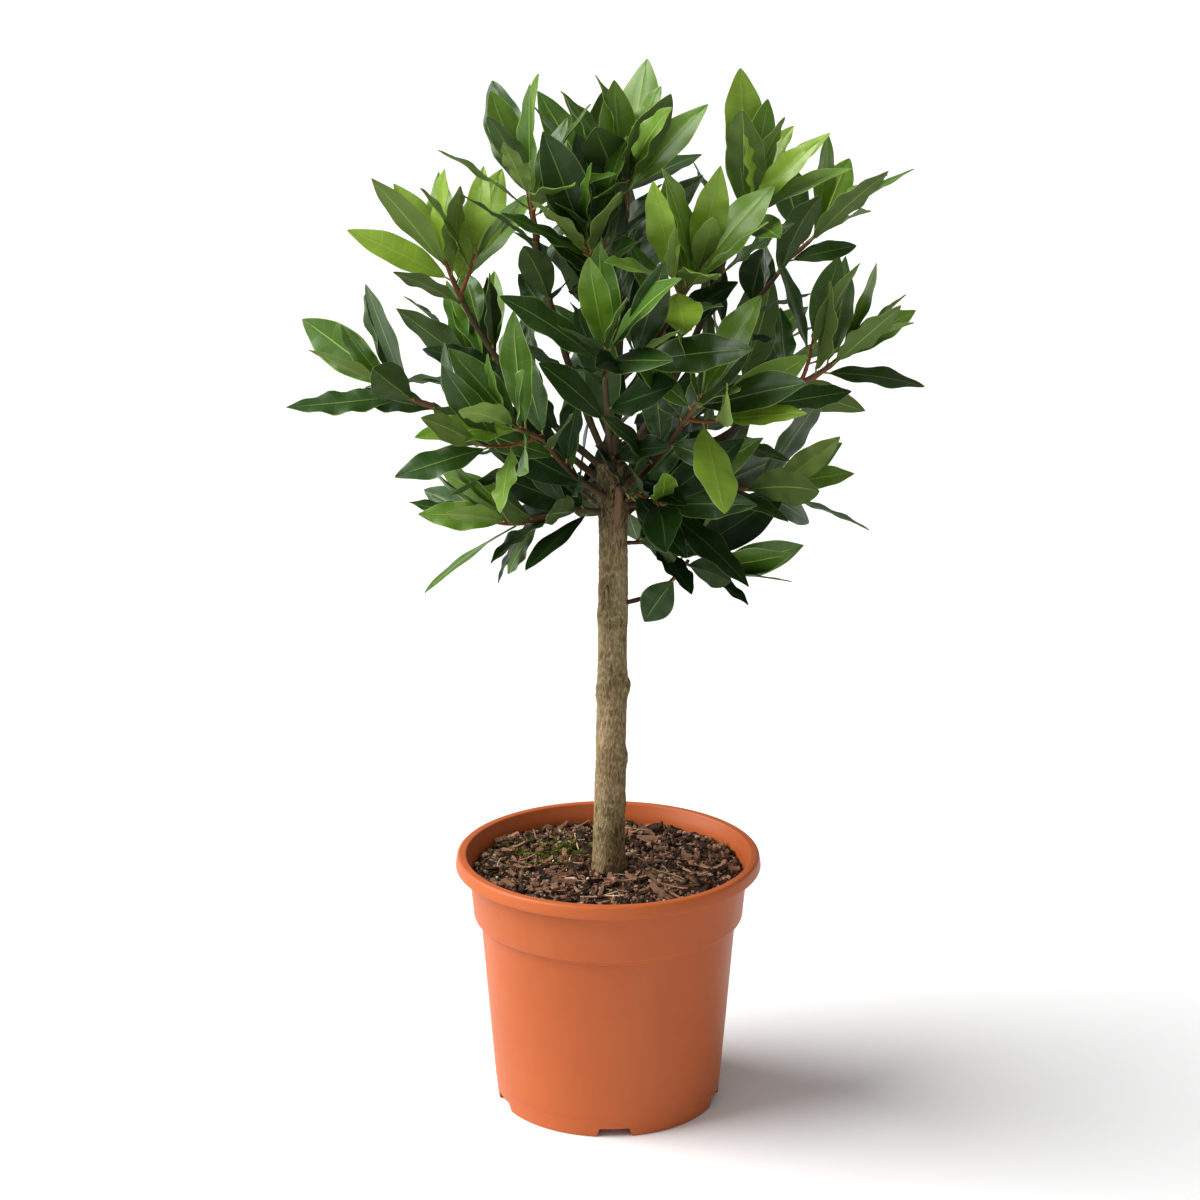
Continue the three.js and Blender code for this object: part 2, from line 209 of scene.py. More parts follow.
def end_fans(rings, sides, foot, tip):
    """Triangles that close the first ring round a foot vertex and the last ring round a tip vertex."""
    last = (rings - 1) * sides
    faces = []
    for k in range(sides):
        after = (k + 1) % sides
        faces.append((foot, after, k))
        faces.append((tip, last + k, last + after))
    return faces


def tube(points, radii, sides, ripple=None):
    """A closed tapering tube along points: vertices and faces. ripple(i, angle) scales the radius."""
    tangents, across = frame_along(points)
    vertices = []
    for i, point in enumerate(points):
        other = tangents[i].cross(across[i])
        for k in range(sides):
            angle = 2 * math.pi * k / sides
            radius = radii[i] * (ripple(i, angle) if ripple else 1)
            vertices.append(point + (across[i] * math.cos(angle) + other * math.sin(angle)) * radius)
    rings = len(points)
    foot = rings * sides
    faces = rings_of_quads(rings, sides) + end_fans(rings, sides, foot, foot + 1)
    vertices.append(points[0] - tangents[0] * radii[0] * FOOT_BULGE)
    vertices.append(points[-1] + tangents[-1] * radii[-1] * TIP_BULGE)
    return vertices, faces


def tapering(radius, taper, count):
    """Radii that fall by the share taper from the first point to the last."""
    return [radius * (1 - taper * i / (count - 1)) for i in range(count)]


def curve_points(start, bend, end, count):
    """Points on a quadratic curve."""
    points = []
    for i in range(count):
        t = i / (count - 1)
        points.append(start * (1 - t) ** 2 + bend * (2 * t * (1 - t)) + end * t * t)
    return points


# ---- materials


def map_range(nodes, links, value, low, high):
    """A 0 to 1 value spread between low and high."""
    node = nodes.new("ShaderNodeMapRange")
    node.inputs["To Min"].default_value = low
    node.inputs["To Max"].default_value = high
    links.new(value, node.inputs["Value"])
    return node.outputs["Result"]


class Look:
    """A material in the making: its nodes, its links and its principled shader."""

    def __init__(self, name, base, roughness, specular=0.15, coat=0.0, coat_roughness=0.3):
        self.material = bpy.data.materials.new(name)
        self.material.use_nodes = True
        self.nodes = self.material.node_tree.nodes
        self.links = self.material.node_tree.links
        self.shader = self.nodes["Principled BSDF"]
        values = {
            "Base Color": (*base, 1),
            "Roughness": roughness,
            "Coat Weight": coat,
            "Coat Roughness": coat_roughness,
            "Specular IOR Level": specular,
        }
        for socket, value in values.items():
            self.shader.inputs[socket].default_value = value

    def noise(self, scale, detail=4, stretch=(1, 1, 1)):
        """Object-space noise, stretched along the axes."""
        place = self.nodes.new("ShaderNodeTexCoord")
        mapping = self.nodes.new("ShaderNodeMapping")
        mapping.inputs["Scale"].default_value = stretch
        texture = self.nodes.new("ShaderNodeTexNoise")
        texture.inputs["Scale"].default_value = scale
        texture.inputs["Detail"].default_value = detail
        self.links.new(place.outputs["Object"], mapping.inputs["Vector"])
        self.links.new(mapping.outputs["Vector"], texture.inputs["Vector"])
        return texture.outputs["Fac"]

    def attribute(self, name):
        """A value stored on the mesh."""
        node = self.nodes.new("ShaderNodeAttribute")
        node.attribute_name = name
        return node.outputs["Fac"]

    def ramp(self, value, stops):
        """A colour ramp over (position, colour) stops."""
        node = self.nodes.new("ShaderNodeValToRGB")
        elements = node.color_ramp.elements
        while len(elements) < len(stops):
            elements.new(0.5)
        for element, (position, colour) in zip(elements, stops):
            element.position = position
            element.color = (*colour, 1)
        self.links.new(value, node.inputs["Fac"])
        return node.outputs["Color"]

    def mix(self, share, first, second, mode="MIX"):
        """A colour mix of two outputs."""
        node = self.nodes.new("ShaderNodeMix")
        node.data_type = "RGBA"
        node.blend_type = mode
        factor, colour_a, colour_b = node.inputs[0], node.inputs[6], node.inputs[7]
        if isinstance(share, float):
            factor.default_value = share
        else:
            self.links.new(share, factor)
        self.links.new(first, colour_a)
        self.links.new(second, colour_b)
        return node.outputs[2]

    def multiply(self, first, second):
        """One colour times another."""
        return self.mix(1.0, first, second, "MULTIPLY")

    def colour(self, value):
        """Drives the base colour."""
        self.links.new(value, self.shader.inputs["Base Color"])

    def roughness(self, value, low, high):
        """Drives the roughness, between low and high."""
        driven = map_range(self.nodes, self.links, value, low, high)
        self.links.new(driven, self.shader.inputs["Roughness"])

    def bump(self, height, distance, strength=1.0):
        """Fine relief too small for the mesh."""
        node = self.nodes.new("ShaderNodeBump")
        node.inputs["Distance"].default_value = distance
        node.inputs["Strength"].default_value = strength
        self.links.new(height, node.inputs["Height"])
        self.links.new(node.outputs["Normal"], self.shader.inputs["Normal"])


def uneven_material(name, base, roughness, grain, detail, under, over, **shine):
    """One plain colour, with a gloss that wanders from under to over its mean."""
    look = Look(name, base, roughness, **shine)
    look.roughness(look.noise(grain, detail), roughness - under, min(1, roughness + over))
    return look.material


def leaf_material(name, base, roughness, specular, coat):
    """Leaf skin: one plain colour, with a gloss that wanders a little from leaf to leaf."""
    return uneven_material(name, base, roughness, grain=28, detail=2, under=0.1, over=0.12,
                           specular=specular, coat=coat, coat_roughness=0.25)


def twig_material(name, base, roughness=0.6):
    """Bark of boughs and shoots: one plain colour, with a rubbed, uneven gloss."""
    return uneven_material(name, base, roughness, grain=300, detail=3, under=0.12, over=0.14)


def litter_material(name, base, roughness=0.85):
    """Loose stuff on the soil: one plain colour and an uneven, dry surface."""
    return uneven_material(name, base, roughness, grain=500, detail=3, under=0.15, over=0.1)


def plastic_material():
    """Terracotta-coloured moulded plastic, faintly clouded and dusty, with fine scuffs."""
    look = Look("pot_plastic", base=(0.43, 0.1, 0.023), roughness=0.45, specular=0.28)
    cloud = look.noise(scale=9, detail=5)
    body = look.ramp(cloud, [(0.3, (0.41, 0.088, 0.019)), (0.7, (0.47, 0.107, 0.025))])
    scuff = look.noise(scale=60, detail=8, stretch=(1, 1, 0.25))
    dust = look.ramp(scuff, [(0.56, (0, 0, 0)), (0.78, (0.16, 0.16, 0.16))])
    pale = look.nodes.new("ShaderNodeRGB")
    pale.outputs[0].default_value = (0.48, 0.18, 0.08, 1)
    separate = look.nodes.new("ShaderNodeSeparateColor")
    look.links.new(dust, separate.inputs["Color"])
    look.colour(look.mix(separate.outputs[0], body, pale.outputs[0]))
    look.roughness(scuff, low=0.36, high=0.56)
    look.bump(look.noise(scale=420, detail=3), distance=0.12 * MM, strength=0.5)
    return look.material


def bark_material():
    """Olive-brown bay bark, greenish in patches, with painted shade in its fissures and a painted highlight
    on its ridges.
    """
    look = Look("bark", base=(0.24, 0.2, 0.11), roughness=0.8)
    # the stored tone runs from painted shade in the fissures to a painted highlight on the ridges
    tone = look.ramp(look.attribute("relief"), [
        (0.0, (0.035, 0.022, 0.012)),
        (0.3, (0.125, 0.09, 0.048)),
        (0.58, (0.225, 0.175, 0.1)),
        (1.0, (0.36, 0.3, 0.19)),
    ])
    patch = look.noise(scale=38, stretch=(1, 1, 0.5))
    green = look.ramp(patch, [(0.35, (0.92, 0.97, 0.82)), (0.65, (1.1, 1.0, 0.94))])
    fleck = look.noise(scale=420, detail=3, stretch=(1, 1, 0.3))
    grain = look.ramp(fleck, [(0.35, (0.86, 0.86, 0.83)), (0.65, (1.12, 1.11, 1.06))])
    look.colour(look.multiply(look.multiply(tone, green), grain))
    look.roughness(fleck, low=0.68, high=0.92)
    look.bump(fleck, distance=0.5 * MM, strength=0.6)
    return look.material


def earth_material():
    """Dark peat with paler crumbs, with painted shade in its hollows and a painted highlight on its rises.
    """
    look = Look("soil_bed", base=(0.05, 0.032, 0.02), roughness=0.95)
    # the stored value runs from painted shade in the hollows to a painted highlight on the rises
    tone = look.ramp(look.attribute("relief"), [
        (0.0, (0.004, 0.002, 0.001)),
        (0.5, (0.046, 0.026, 0.015)),
        (1.0, (0.22, 0.13, 0.08)),
    ])
    crumbs = look.noise(scale=350, detail=5)
    speck = look.ramp(crumbs, [(0.4, (0.6, 0.6, 0.6)), (0.68, (1.7, 1.6, 1.5))])
    look.colour(look.multiply(tone, speck))
    look.bump(crumbs, distance=1.2 * MM)
    return look.material


# ---- pot


def arc(centre, radius, start, end, count):
    """Points of a round stretch of a profile; angles in degrees."""
    points = []
    for i in range(count):
        angle = math.radians(start + (end - start) * i / (count - 1))
        points.append((centre[0] + radius * math.cos(angle), centre[1] + radius * math.sin(angle)))
    return points


def lathe(profile, segments):
    """A closed profile of (radius, height), with both ends on the axis, turned about Z."""
    ring = [point for point in profile if point[0] > 0]
    angles = np.arange(segments) * 2 * math.pi / segments
    vertices = [(r * math.cos(a), r * math.sin(a), z) for r, z in ring for a in angles]
    first = len(vertices)
    faces = rings_of_quads(len(ring), segments) + end_fans(len(ring), segments, first, first + 1)
    vertices.append((0, 0, profile[0][1]))
    vertices.append((0, 0, profile[-1][1]))
    return vertices, faces


# The pot's radii and heights, in millimetres.
POT_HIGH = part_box("pot")[1]
RIM = POT_HIGH.x / MM
POT_TOP = POT_HIGH.z / MM
RIM_FOOT = POT_TOP - 10
COLLAR_TOP = 107.5
COLLAR_FOOT = 104.5
WALL_TOP = 98.5
WALL_HEIGHT = 146
BASE = 87
WALL = 2.2
FOOT = 7
FOOT_RING = 81.2
PAD = 29.4
RAISED_FLOOR = 10
MOULDING_LINE = 16
NOTCHES = 5
FIRST_NOTCH = -87
DRAIN_CIRCLE = 66
DRAIN_RADIUS = 5
POT_SEGMENTS = 160
SHARP_EDGE = 38  # degrees; flatter edges are shaded smooth


def wall_radius(height):
    """The outside of the plain wall below the collar."""
    return BASE + (WALL_TOP - BASE) / WALL_HEIGHT * height


def pot_profile():
    """The pot's outline from the middle of its underside, round the rim, to the middle of its floor."""
    # the underside: a level pad, a raised ring with the drain holes, and the foot ring
    outside = [(0, 0), (PAD, 0)]
    outside += arc((PAD, 0.6), 0.6, -90, -20, 4)
    outside += [(PAD + 3.6, FOOT - 0.5), (PAD + 4.6, FOOT), (FOOT_RING - 1.6, FOOT)]
    outside += [(FOOT_RING - 0.8, FOOT - 0.8), (FOOT_RING - 0.6, 0.6), (FOOT_RING, 0)]
    outside += arc((BASE - 1.2, 1.2), 1.2, -90, 0, 5)
    # the wall, with a faint moulding line a little above the foot
    outside += [(wall_radius(z), z) for z in (4, 7.6, 12, 15.4)]
    outside += [(wall_radius(MOULDING_LINE) + 0.25, 15.8), (wall_radius(MOULDING_LINE) + 0.3, 16.4)]
    outside += [(wall_radius(z) + 0.3, z) for z in (30, 50, 70, 90, 110, 130, 142)]
    # the step out to the collar, and the collar
    outside += arc((WALL_TOP + 2.6, 145.6), 2.4, 180, 112, 6)
    outside += arc((COLLAR_FOOT - 3.6, 152.6), 3.6, -62, 0, 7)
    outside += [(COLLAR_FOOT + 0.4, 158), (COLLAR_FOOT + 1.4, 168)]
    outside += [(COLLAR_TOP - 0.5, 180), (COLLAR_TOP, 185)]
    # the rolled rim
    outside += arc((COLLAR_TOP + 3, RIM_FOOT - 3.2), 2.8, 175, 92, 6)
    outside += [(RIM - 3, RIM_FOOT)]
    outside += arc((RIM - 1.1, RIM_FOOT + 1.1), 1.1, -90, 0, 5)
    outside += [(RIM - 0.3, RIM_FOOT + 4)]
    outside += arc((RIM - 3.6, POT_TOP - 2.6), 2.6, 14, 90, 8)
    inside = [(111.4, POT_TOP - 0.1)]
    inside += arc((111, POT_TOP - 1.6), 1.5, 95, 165, 5)
    inside += [(108.2, POT_TOP - 4.6), (106.6, POT_TOP - 8), (105.6, POT_TOP - 12), (105.2, 183)]
    # the inside of the collar and wall, and the raised floor
    inside += [(COLLAR_FOOT - WALL, 154), (WALL_TOP - WALL, WALL_HEIGHT), (BASE - WALL + 0.8, 14)]
    inside += [(BASE - WALL - 3, RAISED_FLOOR), (PAD + 4.6, RAISED_FLOOR), (PAD - 1.4, 3), (0, 3)]
    return [(radius * MM, height * MM) for radius, height in outside + inside]


def cut(piece, tool):
    """Cuts tool out of piece and applies the result."""
    modifier = piece.modifiers.new("cut", "BOOLEAN")
    modifier.object = tool
    modifier.solver = "EXACT"
    bpy.context.view_layer.update()
    result = piece.evaluated_get(bpy.context.evaluated_depsgraph_get())
    mesh = bpy.data.meshes.new_from_object(result)
    piece.modifiers.clear()
    piece.data = mesh
    bpy.data.objects.remove(tool)


# Outline of a slot in the foot ring: across and up; and how far its wedge reaches either way.
NOTCH = ((-14, -1), (14, -1), (13.6, 1), (11.6, 6.4), (11, 7), (-11, 7), (-11.6, 6.4), (-13.6, 1))
NOTCH_REACH = 9


def notch_cutter():
    """Wedges for the slots in the foot ring, and drums for the drain holes, in one solid each."""
    batch = Batch()
    for i in range(NOTCHES):
        turn = Matrix.Rotation(math.radians(FIRST_NOTCH + 360 * i / NOTCHES), 3, "Z")
        corners = []
        for x in (BASE - NOTCH_REACH, BASE + NOTCH_REACH):
            corners += [turn @ Vector((x, y, z)) * MM for y, z in NOTCH]
        count = len(NOTCH)
        sides = [(k, (k + 1) % count, (k + 1) % count + count, k + count) for k in range(count)]
        ends = [tuple(reversed(range(count))), tuple(range(count, 2 * count))]
        batch.add(corners, sides + ends, 0)
        drum = [turn @ Vector((DRAIN_CIRCLE, 0, z)) * MM for z in (5, 12)]
        batch.add(*tube(drum, [DRAIN_RADIUS * MM] * 2, 24), 0)
    return batch.piece("notches", [], smooth=False)


def make_pot():
    """The plastic pot, with the slots of its foot ring and its drain holes."""
    vertices, faces = lathe(pot_profile(), POT_SEGMENTS)
    pot = mesh_piece("planter", vertices, faces, [plastic_material()], smooth=False)
    cut(pot, notch_cutter())
    pot.data.polygons.foreach_set("use_smooth", np.full(len(pot.data.polygons), True))
    pot.data.set_sharp_from_angle(angle=math.radians(SHARP_EDGE))
    settle(pot, "pot_plastic", "pot")


# ---- soil and what lies on it

SOIL_TOP = 184.7 * MM
SOIL_EDGE = 104 * MM
TRUNK_FOOT = 13 * MM

# The soil's side, a little clear of the pot's inside: radius and height, from the top down.
SOIL_SKIRT = (
    (102.4 * MM, 162.7 * MM),
    (101.5 * MM, 157 * MM),
    (95.4 * MM, 145 * MM),
    (84 * MM, 13 * MM),
)

# Layers of the soil's roughness: height, scale of the noise, and the slice of it that is used.
LUMPS = (3.8 * MM, 45, 0)
CLODS = (2.4 * MM, 130, 3)
GRAIN = (0.9 * MM, 330, 7)
FINE_GRAIN = (0.5 * MM, 800, 9)
CREVICES = (3.2 * MM, 75, 11)
CREVICE_WIDTH = 0.14
# The soil rises to the middle, and again from EDGE_START to the pot.
CROWN_RISE = 1.6 * MM
EDGE_RISE = 1.6 * MM
EDGE_START = 60 * MM


def rough(layer, x, y):
    """A layer's noise at a place on the soil, from -1 to 1."""
    _, scale, level = layer
    return noise.noise(Vector((x, y, level)) * scale)


def soil_height(x, y):
    """The soil's rough surface: nearly level, with lumps, clods and crevices."""
    radius = math.hypot(x, y)
    crown = CROWN_RISE * (1 - (radius / SOIL_EDGE) ** 2)
    edge = EDGE_RISE * max(0.0, (radius - EDGE_START) / (SOIL_EDGE - EDGE_START))
    crevice = max(0.0, 1 - abs(rough(CREVICES, x, y)) / CREVICE_WIDTH)
    relief = LUMPS[0] * rough(LUMPS, x, y) + CLODS[0] * rough(CLODS, x, y) - CREVICES[0] * crevice
    return SOIL_TOP + crown + edge + relief


def make_soil_bed():
    """The soil as one closed solid, rough on top, that fills the pot to its floor."""
    rings, sectors = 70, 220
    vertices = []
    relief = []
    for i in range(1, rings + 1):
        radius = SOIL_EDGE * i / rings
        for k in range(sectors):
            angle = 2 * math.pi * k / sectors
            x = radius * math.cos(angle)
            y = radius * math.sin(angle)
            grain = rough(GRAIN, x, y)
            fine = rough(FINE_GRAIN, x, y)
            vertices.append((x, y, soil_height(x, y) + GRAIN[0] * grain + FINE_GRAIN[0] * fine))
            # the tone follows the height: painted shade in the hollows, a painted highlight on the rises
            relief.append(min(1, max(0, 0.5 + 0.45 * grain + 0.3 * fine)))
    faces = rings_of_quads(rings, sectors, inward=True)
    centre = len(vertices)
    vertices.append((0, 0, SOIL_TOP))
    relief.append(0.5)
    faces += [(centre, k, (k + 1) % sectors) for k in range(sectors)]
    # a skirt follows the inside of the pot down to its floor, and an underside closes the bed
    above = (rings - 1) * sectors
    for radius, height in SOIL_SKIRT:
        below = len(vertices)
        for k in range(sectors):
            angle = 2 * math.pi * k / sectors
            vertices.append((radius * math.cos(angle), radius * math.sin(angle), height))
            # the skirt takes a dark tone, as painted shade down the pot's inside
            relief.append(0.2)
            nxt = (k + 1) % sectors
            faces.append((above + k, below + k, below + nxt, above + nxt))
        above = below
    faces.append(tuple(reversed(range(above, above + sectors))))
    bed = mesh_piece("soil_bed", vertices, faces, [earth_material()])
    store_relief(bed, relief)
    settle(bed, "potting_soil", "soil")


# Corners of a twenty-sided lump less than this far apart, on a ball of radius 1, share an edge.
NEIGHBOURS = 1.2


def lump_shape(rng, roundness=0.25):
    """A small uneven stone of twenty faces."""
    gold = (1 + math.sqrt(5)) / 2
    corners = []
    for a in (-1, 1):
        for b in (-gold, gold):
            corners += [Vector((a, b, 0)), Vector((0, a, b)), Vector((b, 0, a))]
    corners = [c.normalized() * (1 + rng.uniform(-roundness, roundness)) for c in corners]
    faces = []
    for i, j, k in combinations(range(len(corners)), 3):
        ways = [corners[index].normalized() for index in (i, j, k)]
        sides = [(ways[n] - ways[n - 1]).length for n in range(3)]
        if max(sides) < NEIGHBOURS:
            centre = corners[i] + corners[j] + corners[k]
            normal = (corners[j] - corners[i]).cross(corners[k] - corners[i])
            faces.append((i, j, k) if normal.dot(centre) > 0 else (i, k, j))
    return corners, faces


def random_turn(rng, tilt=math.pi):
    """A random heading with at most tilt of lean."""
    return (Matrix.Rotation(rng.uniform(0, 2 * math.pi), 3, "Z")
            @ Matrix.Rotation(rng.uniform(-tilt, tilt), 3, "X")
            @ Matrix.Rotation(rng.uniform(-tilt, tilt), 3, "Y"))


def scatter(rng, inner=TRUNK_FOOT + 2 * MM, outer=SOIL_EDGE - 4 * MM):
    """A place on the soil, evenly spread over its area."""
    radius = math.sqrt(rng.uniform(inner ** 2, outer ** 2))
    angle = rng.uniform(0, 2 * math.pi)
    x = radius * math.cos(angle)
    y = radius * math.sin(angle)
    return Vector((x, y, soil_height(x, y)))


def lay(batch, name, tones, smooth):
    """Makes the gathered litter a piece, with its tones: name, colour, roughness."""
    materials = [litter_material(*tone) for tone in tones]
    settle(batch.piece(name, materials, smooth=smooth), "potting_soil")


CRUMBS = 5200
CRUMB_SIZES = (0.6, 0.8, 1.0, 1.2, 1.6, 2.6)


def make_crumbs(rng):
    """Crumbs of peat all over the soil."""
    batch = Batch()
    shapes = [lump_shape(rng) for _ in range(12)]
    for _ in range(CRUMBS):
        corners, faces = rng.choice(shapes)
        place = scatter(rng, outer=SOIL_EDGE - 2 * MM)
        size = rng.choice(CRUMB_SIZES) * MM * rng.uniform(0.8, 1.2)
        turn = random_turn(rng)
        squash = Vector((1, rng.uniform(0.6, 1), rng.uniform(0.5, 0.9)))
        points = [place + turn @ (corner * squash) * size for corner in corners]
        batch.add(points, faces, rng.choice((0, 0, 1, 1, 2)))
    lay(batch, "soil_crumbs", (
        ("peat_dark", (0.02, 0.01, 0.005)),
        ("peat_mid", (0.155, 0.08, 0.046)),
        ("peat_pale", (0.34, 0.22, 0.14)),
    ), smooth=False)


# Kinds of bark chip: how many, length, width as a share of it, thickness, and the tones it may have.
CHIPS = [
    (90, (10 * MM, 34 * MM), (0.04, 0.09), (0.6 * MM, 1.3 * MM), (0, 1, 2, 2, 3)),
    (170, (6 * MM, 19 * MM), (0.2, 0.5), (1.2 * MM, 3.6 * MM), (0, 0, 1, 1, 2)),
    (260, (3 * MM, 8 * MM), (0.25, 0.6), (0.8 * MM, 2.0 * MM), (0, 1, 1, 2)),
]

# Chips further out than this lean a little more, on each other and on the pot.
NEAR_WALL = 78 * MM


def chip_shape(rng, length, width, thick):
    """A split flake of bark: blunt ragged ends, jagged sides, a slight bow."""
    steps = 7
    bow = rng.uniform(-0.04, 0.1) * length
    corners = []
    for i in range(steps + 1):
        t = i / steps
        plumpness = 0.55 + 0.45 * math.sin(math.pi * (0.08 + 0.84 * t))
        half = width / 2 * plumpness * rng.uniform(0.75, 1.15)
        x = length * (t - 0.5)
        z = bow * (t - 0.5) ** 2 * 4
        jog = rng.uniform(-0.12, 0.12) * width
        crest = thick * rng.uniform(0.75, 1.1)
        shoulder = thick * rng.uniform(0.6, 1.1)
        for y, up in ((-half, 0), (-half * 0.75, crest), (half * 0.6, shoulder), (half, 0)):
            corners.append(Vector((x, y + jog, z + up)))
    faces = rings_of_quads(steps + 1, 4, inward=True)
    end = steps * 4
    faces += [(0, 1, 2, 3), (end + 3, end + 2, end + 1, end)]
    return corners, faces


def make_chips(rng):
    """Flakes and splinters of bark, lying at all headings, some half buried."""
    batch = Batch()
    for count, lengths, shares, thicknesses, choice in CHIPS:
        for _ in range(count):
            length = rng.uniform(*lengths)
            width = length * rng.uniform(*shares)
            corners, faces = chip_shape(rng, length, width, rng.uniform(*thicknesses))
            place = scatter(rng, TRUNK_FOOT + 6 * MM, SOIL_EDGE - 0.5 * length)
            place += UP * rng.uniform(0.2, 2.2) * MM
            near_wall = math.hypot(place.x, place.y) > NEAR_WALL
            turn = random_turn(rng, math.radians(30 if near_wall else 20))
            batch.add([place + turn @ corner for corner in corners], faces, rng.choice(choice))
    lay(batch, "bark_chips", (
        ("chip_dark", (0.026, 0.013, 0.007)),
        ("chip_brown", (0.165, 0.084, 0.048)),
        ("chip_red", (0.28, 0.143, 0.084)),
        ("chip_tan", (0.5, 0.34, 0.22)),
    ), smooth=False)


STRAWS = 60
GRAINS = 26
MOSS_TRIES = 2000
MOSS_MIDDLE = Vector((-42 * MM, 34 * MM, 0))


def make_straw(rng):
    """Thin dry fibres and splinters, some standing up a little."""
    batch = Batch()
    for _ in range(STRAWS):
        length = rng.uniform(6, 26) * MM
        place = scatter(rng, TRUNK_FOOT + 6 * MM, SOIL_EDGE - 14 * MM) + UP * 1.2 * MM
        heading = Vector((rng.gauss(0, 1), rng.gauss(0, 1), 0)).normalized()
        rise = rng.uniform(-0.05, 0.12) if rng.random() < 0.85 else rng.uniform(0.3, 0.6)
        heading = (heading + UP * rise).normalized()
        side = heading.cross(UP).normalized() * rng.uniform(-0.2, 0.2) * length
        start = place - heading * length * 0.35
        points = curve_points(start, place + side, place + heading * length * 0.65, 7)
        radius = rng.uniform(0.25, 0.65) * MM
        radii = [radius * (1 - 0.6 * abs(i / 6 - 0.4)) for i in range(7)]
        batch.add(*tube(points, radii, 5), rng.choice((0, 1, 1, 2, 2)))
    lay(batch, "straw", (
        ("straw_pale", (0.62, 0.5, 0.33), 0.6),
        ("straw_tan", (0.4, 0.27, 0.15), 0.65),
        ("straw_brown", (0.18, 0.1, 0.06), 0.7),
    ), smooth=True)


def make_grit(rng):
    """Grains of perlite."""
    batch = Batch()
    shapes = [lump_shape(rng, 0.18) for _ in range(6)]
    for _ in range(GRAINS):
        corners, faces = rng.choice(shapes)
        place = scatter(rng) + UP * 1.2 * MM
        size = rng.uniform(0.6, 1.5) * MM
        batch.add([place + corner * size for corner in corners], faces, 0)
    lay(batch, "perlite", [("perlite", (0.6, 0.54, 0.46), 0.8)], smooth=True)


def make_moss(rng):
    """A cushion of moss to the left of the trunk and behind it: tufts of tiny pointed leaves."""
    batch = Batch()
    blades = 6
    # a blade is a flat spindle: foot, side, tip, side, and a crest above and below
    faces = [(0, 1, 4), (1, 2, 4), (2, 3, 4), (3, 0, 4), (1, 0, 5), (2, 1, 5), (3, 2, 5), (0, 3, 5)]
    for _ in range(MOSS_TRIES):
        spot = MOSS_MIDDLE + Vector((rng.gauss(0, 20), rng.gauss(0, 12), 0)) * MM
        radius = math.hypot(spot.x, spot.y)
        keep = noise.noise(Vector((spot.x, spot.y, 5)) * 70) > -0.16
        if radius > SOIL_EDGE - 8 * MM or radius < TRUNK_FOOT + 2 * MM or not keep:
            continue
        foot = Vector((spot.x, spot.y, soil_height(spot.x, spot.y) + 1.6 * MM))
        for i in range(blades):
            angle = 2 * math.pi * i / blades + rng.uniform(0, 1)
            out = Vector((math.cos(angle), math.sin(angle), rng.uniform(0.5, 1.6))).normalized()
            side = out.cross(UP).normalized() * 0.4 * MM
            tip = foot + out * rng.uniform(1.1, 2.0) * MM
            body = foot + out * 0.9 * MM
            lift = out.cross(side).normalized() * 0.16 * MM
            points = [foot, body - side, tip, body + side, body + lift, body - lift]
            batch.add(points, faces, rng.choice((0, 0, 1, 2)))
    lay(batch, "moss", (
        ("moss_deep", (0.04, 0.055, 0.006), 0.7),
        ("moss_green", (0.09, 0.115, 0.01), 0.7),
        ("moss_light", (0.19, 0.21, 0.025), 0.7),
    ), smooth=False)


# ---- trunk and boughs


def trunk_rings():
    """Height, centre and mean radius at each of the frame's trunk rings."""
    points = np.array([v.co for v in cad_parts["trunk"].data.vertices])
    heights = np.round(points[:, 2], 4)
    rows = []
    for height in np.unique(heights):
        ring = points[heights == height]
        span = ring[:, :2].max(0) - ring[:, :2].min(0)
        if span.min() > 10 * MM:
            centre = (ring[:, :2].max(0) + ring[:, :2].min(0)) / 2
            rows.append((height, centre[0], centre[1], span.mean() / 2))
    return np.array(rows)


TRUNK = trunk_rings()


def trunk_axis(height):
    """The trunk's centre and radius at a height."""
    x, y, radius = (float(np.interp(height, TRUNK[:, 0], TRUNK[:, c])) for c in (1, 2, 3))
    return Vector((x, y, height)), radius


# Pruning scars on the trunk: height in millimetres, heading in degrees, size in millimetres.
SCARS = [
    (334, 0, 1.9), (330, 178, 1.5), (277, 2, 2.2), (226, 120, 1.4), (300, 95, 1.5), (356, 60, 1.2),
    (222, -125, 1.5), (336, -28, 1.6), (392, -150, 1.3), (410, 150, 1.1), (240, -20, 1.3),
]

# Layers of the bark: how far each stands out, in millimetres, and how much it lightens the tone.
# Raised layers are painted lighter and the furrow darker, as painted highlight and painted shade; the patch
# is the bark's own uneven tone.
RIDGE = (0.42, 0.42)
FURROW = (-0.5, -0.4)
SWELL = (0.7, 0.15)
WRINKLE = (0.2, 0.12)
PATCH = (0.0, 0.2)
MEAN_TONE = 0.42
# Darker towards the soil, and painted shade under the boughs and crown: height and fade in millimetres, and
# darkening.
FOOT_DARKENING = (186, 13, 0.2)
HEAD_SHADE = (468, 9, 0.34)
# A scar's collar: half its height in millimetres, half its breadth in radians, reach of its effect.
SCAR_RISE = 6
SCAR_TURN = 0.5
SCAR_REACH = 6


def darker_foot_and_head_shade(height):
    """How much darker the bark is at a height in millimetres: darker towards the soil, and painted shade
    under the crown.
    """
    level, fade, depth = FOOT_DARKENING
    foot = depth * math.exp(-(height - level) / fade)
    level, fade, depth = HEAD_SHADE
    return foot + depth / (1 + math.exp(-(height - level) / fade))


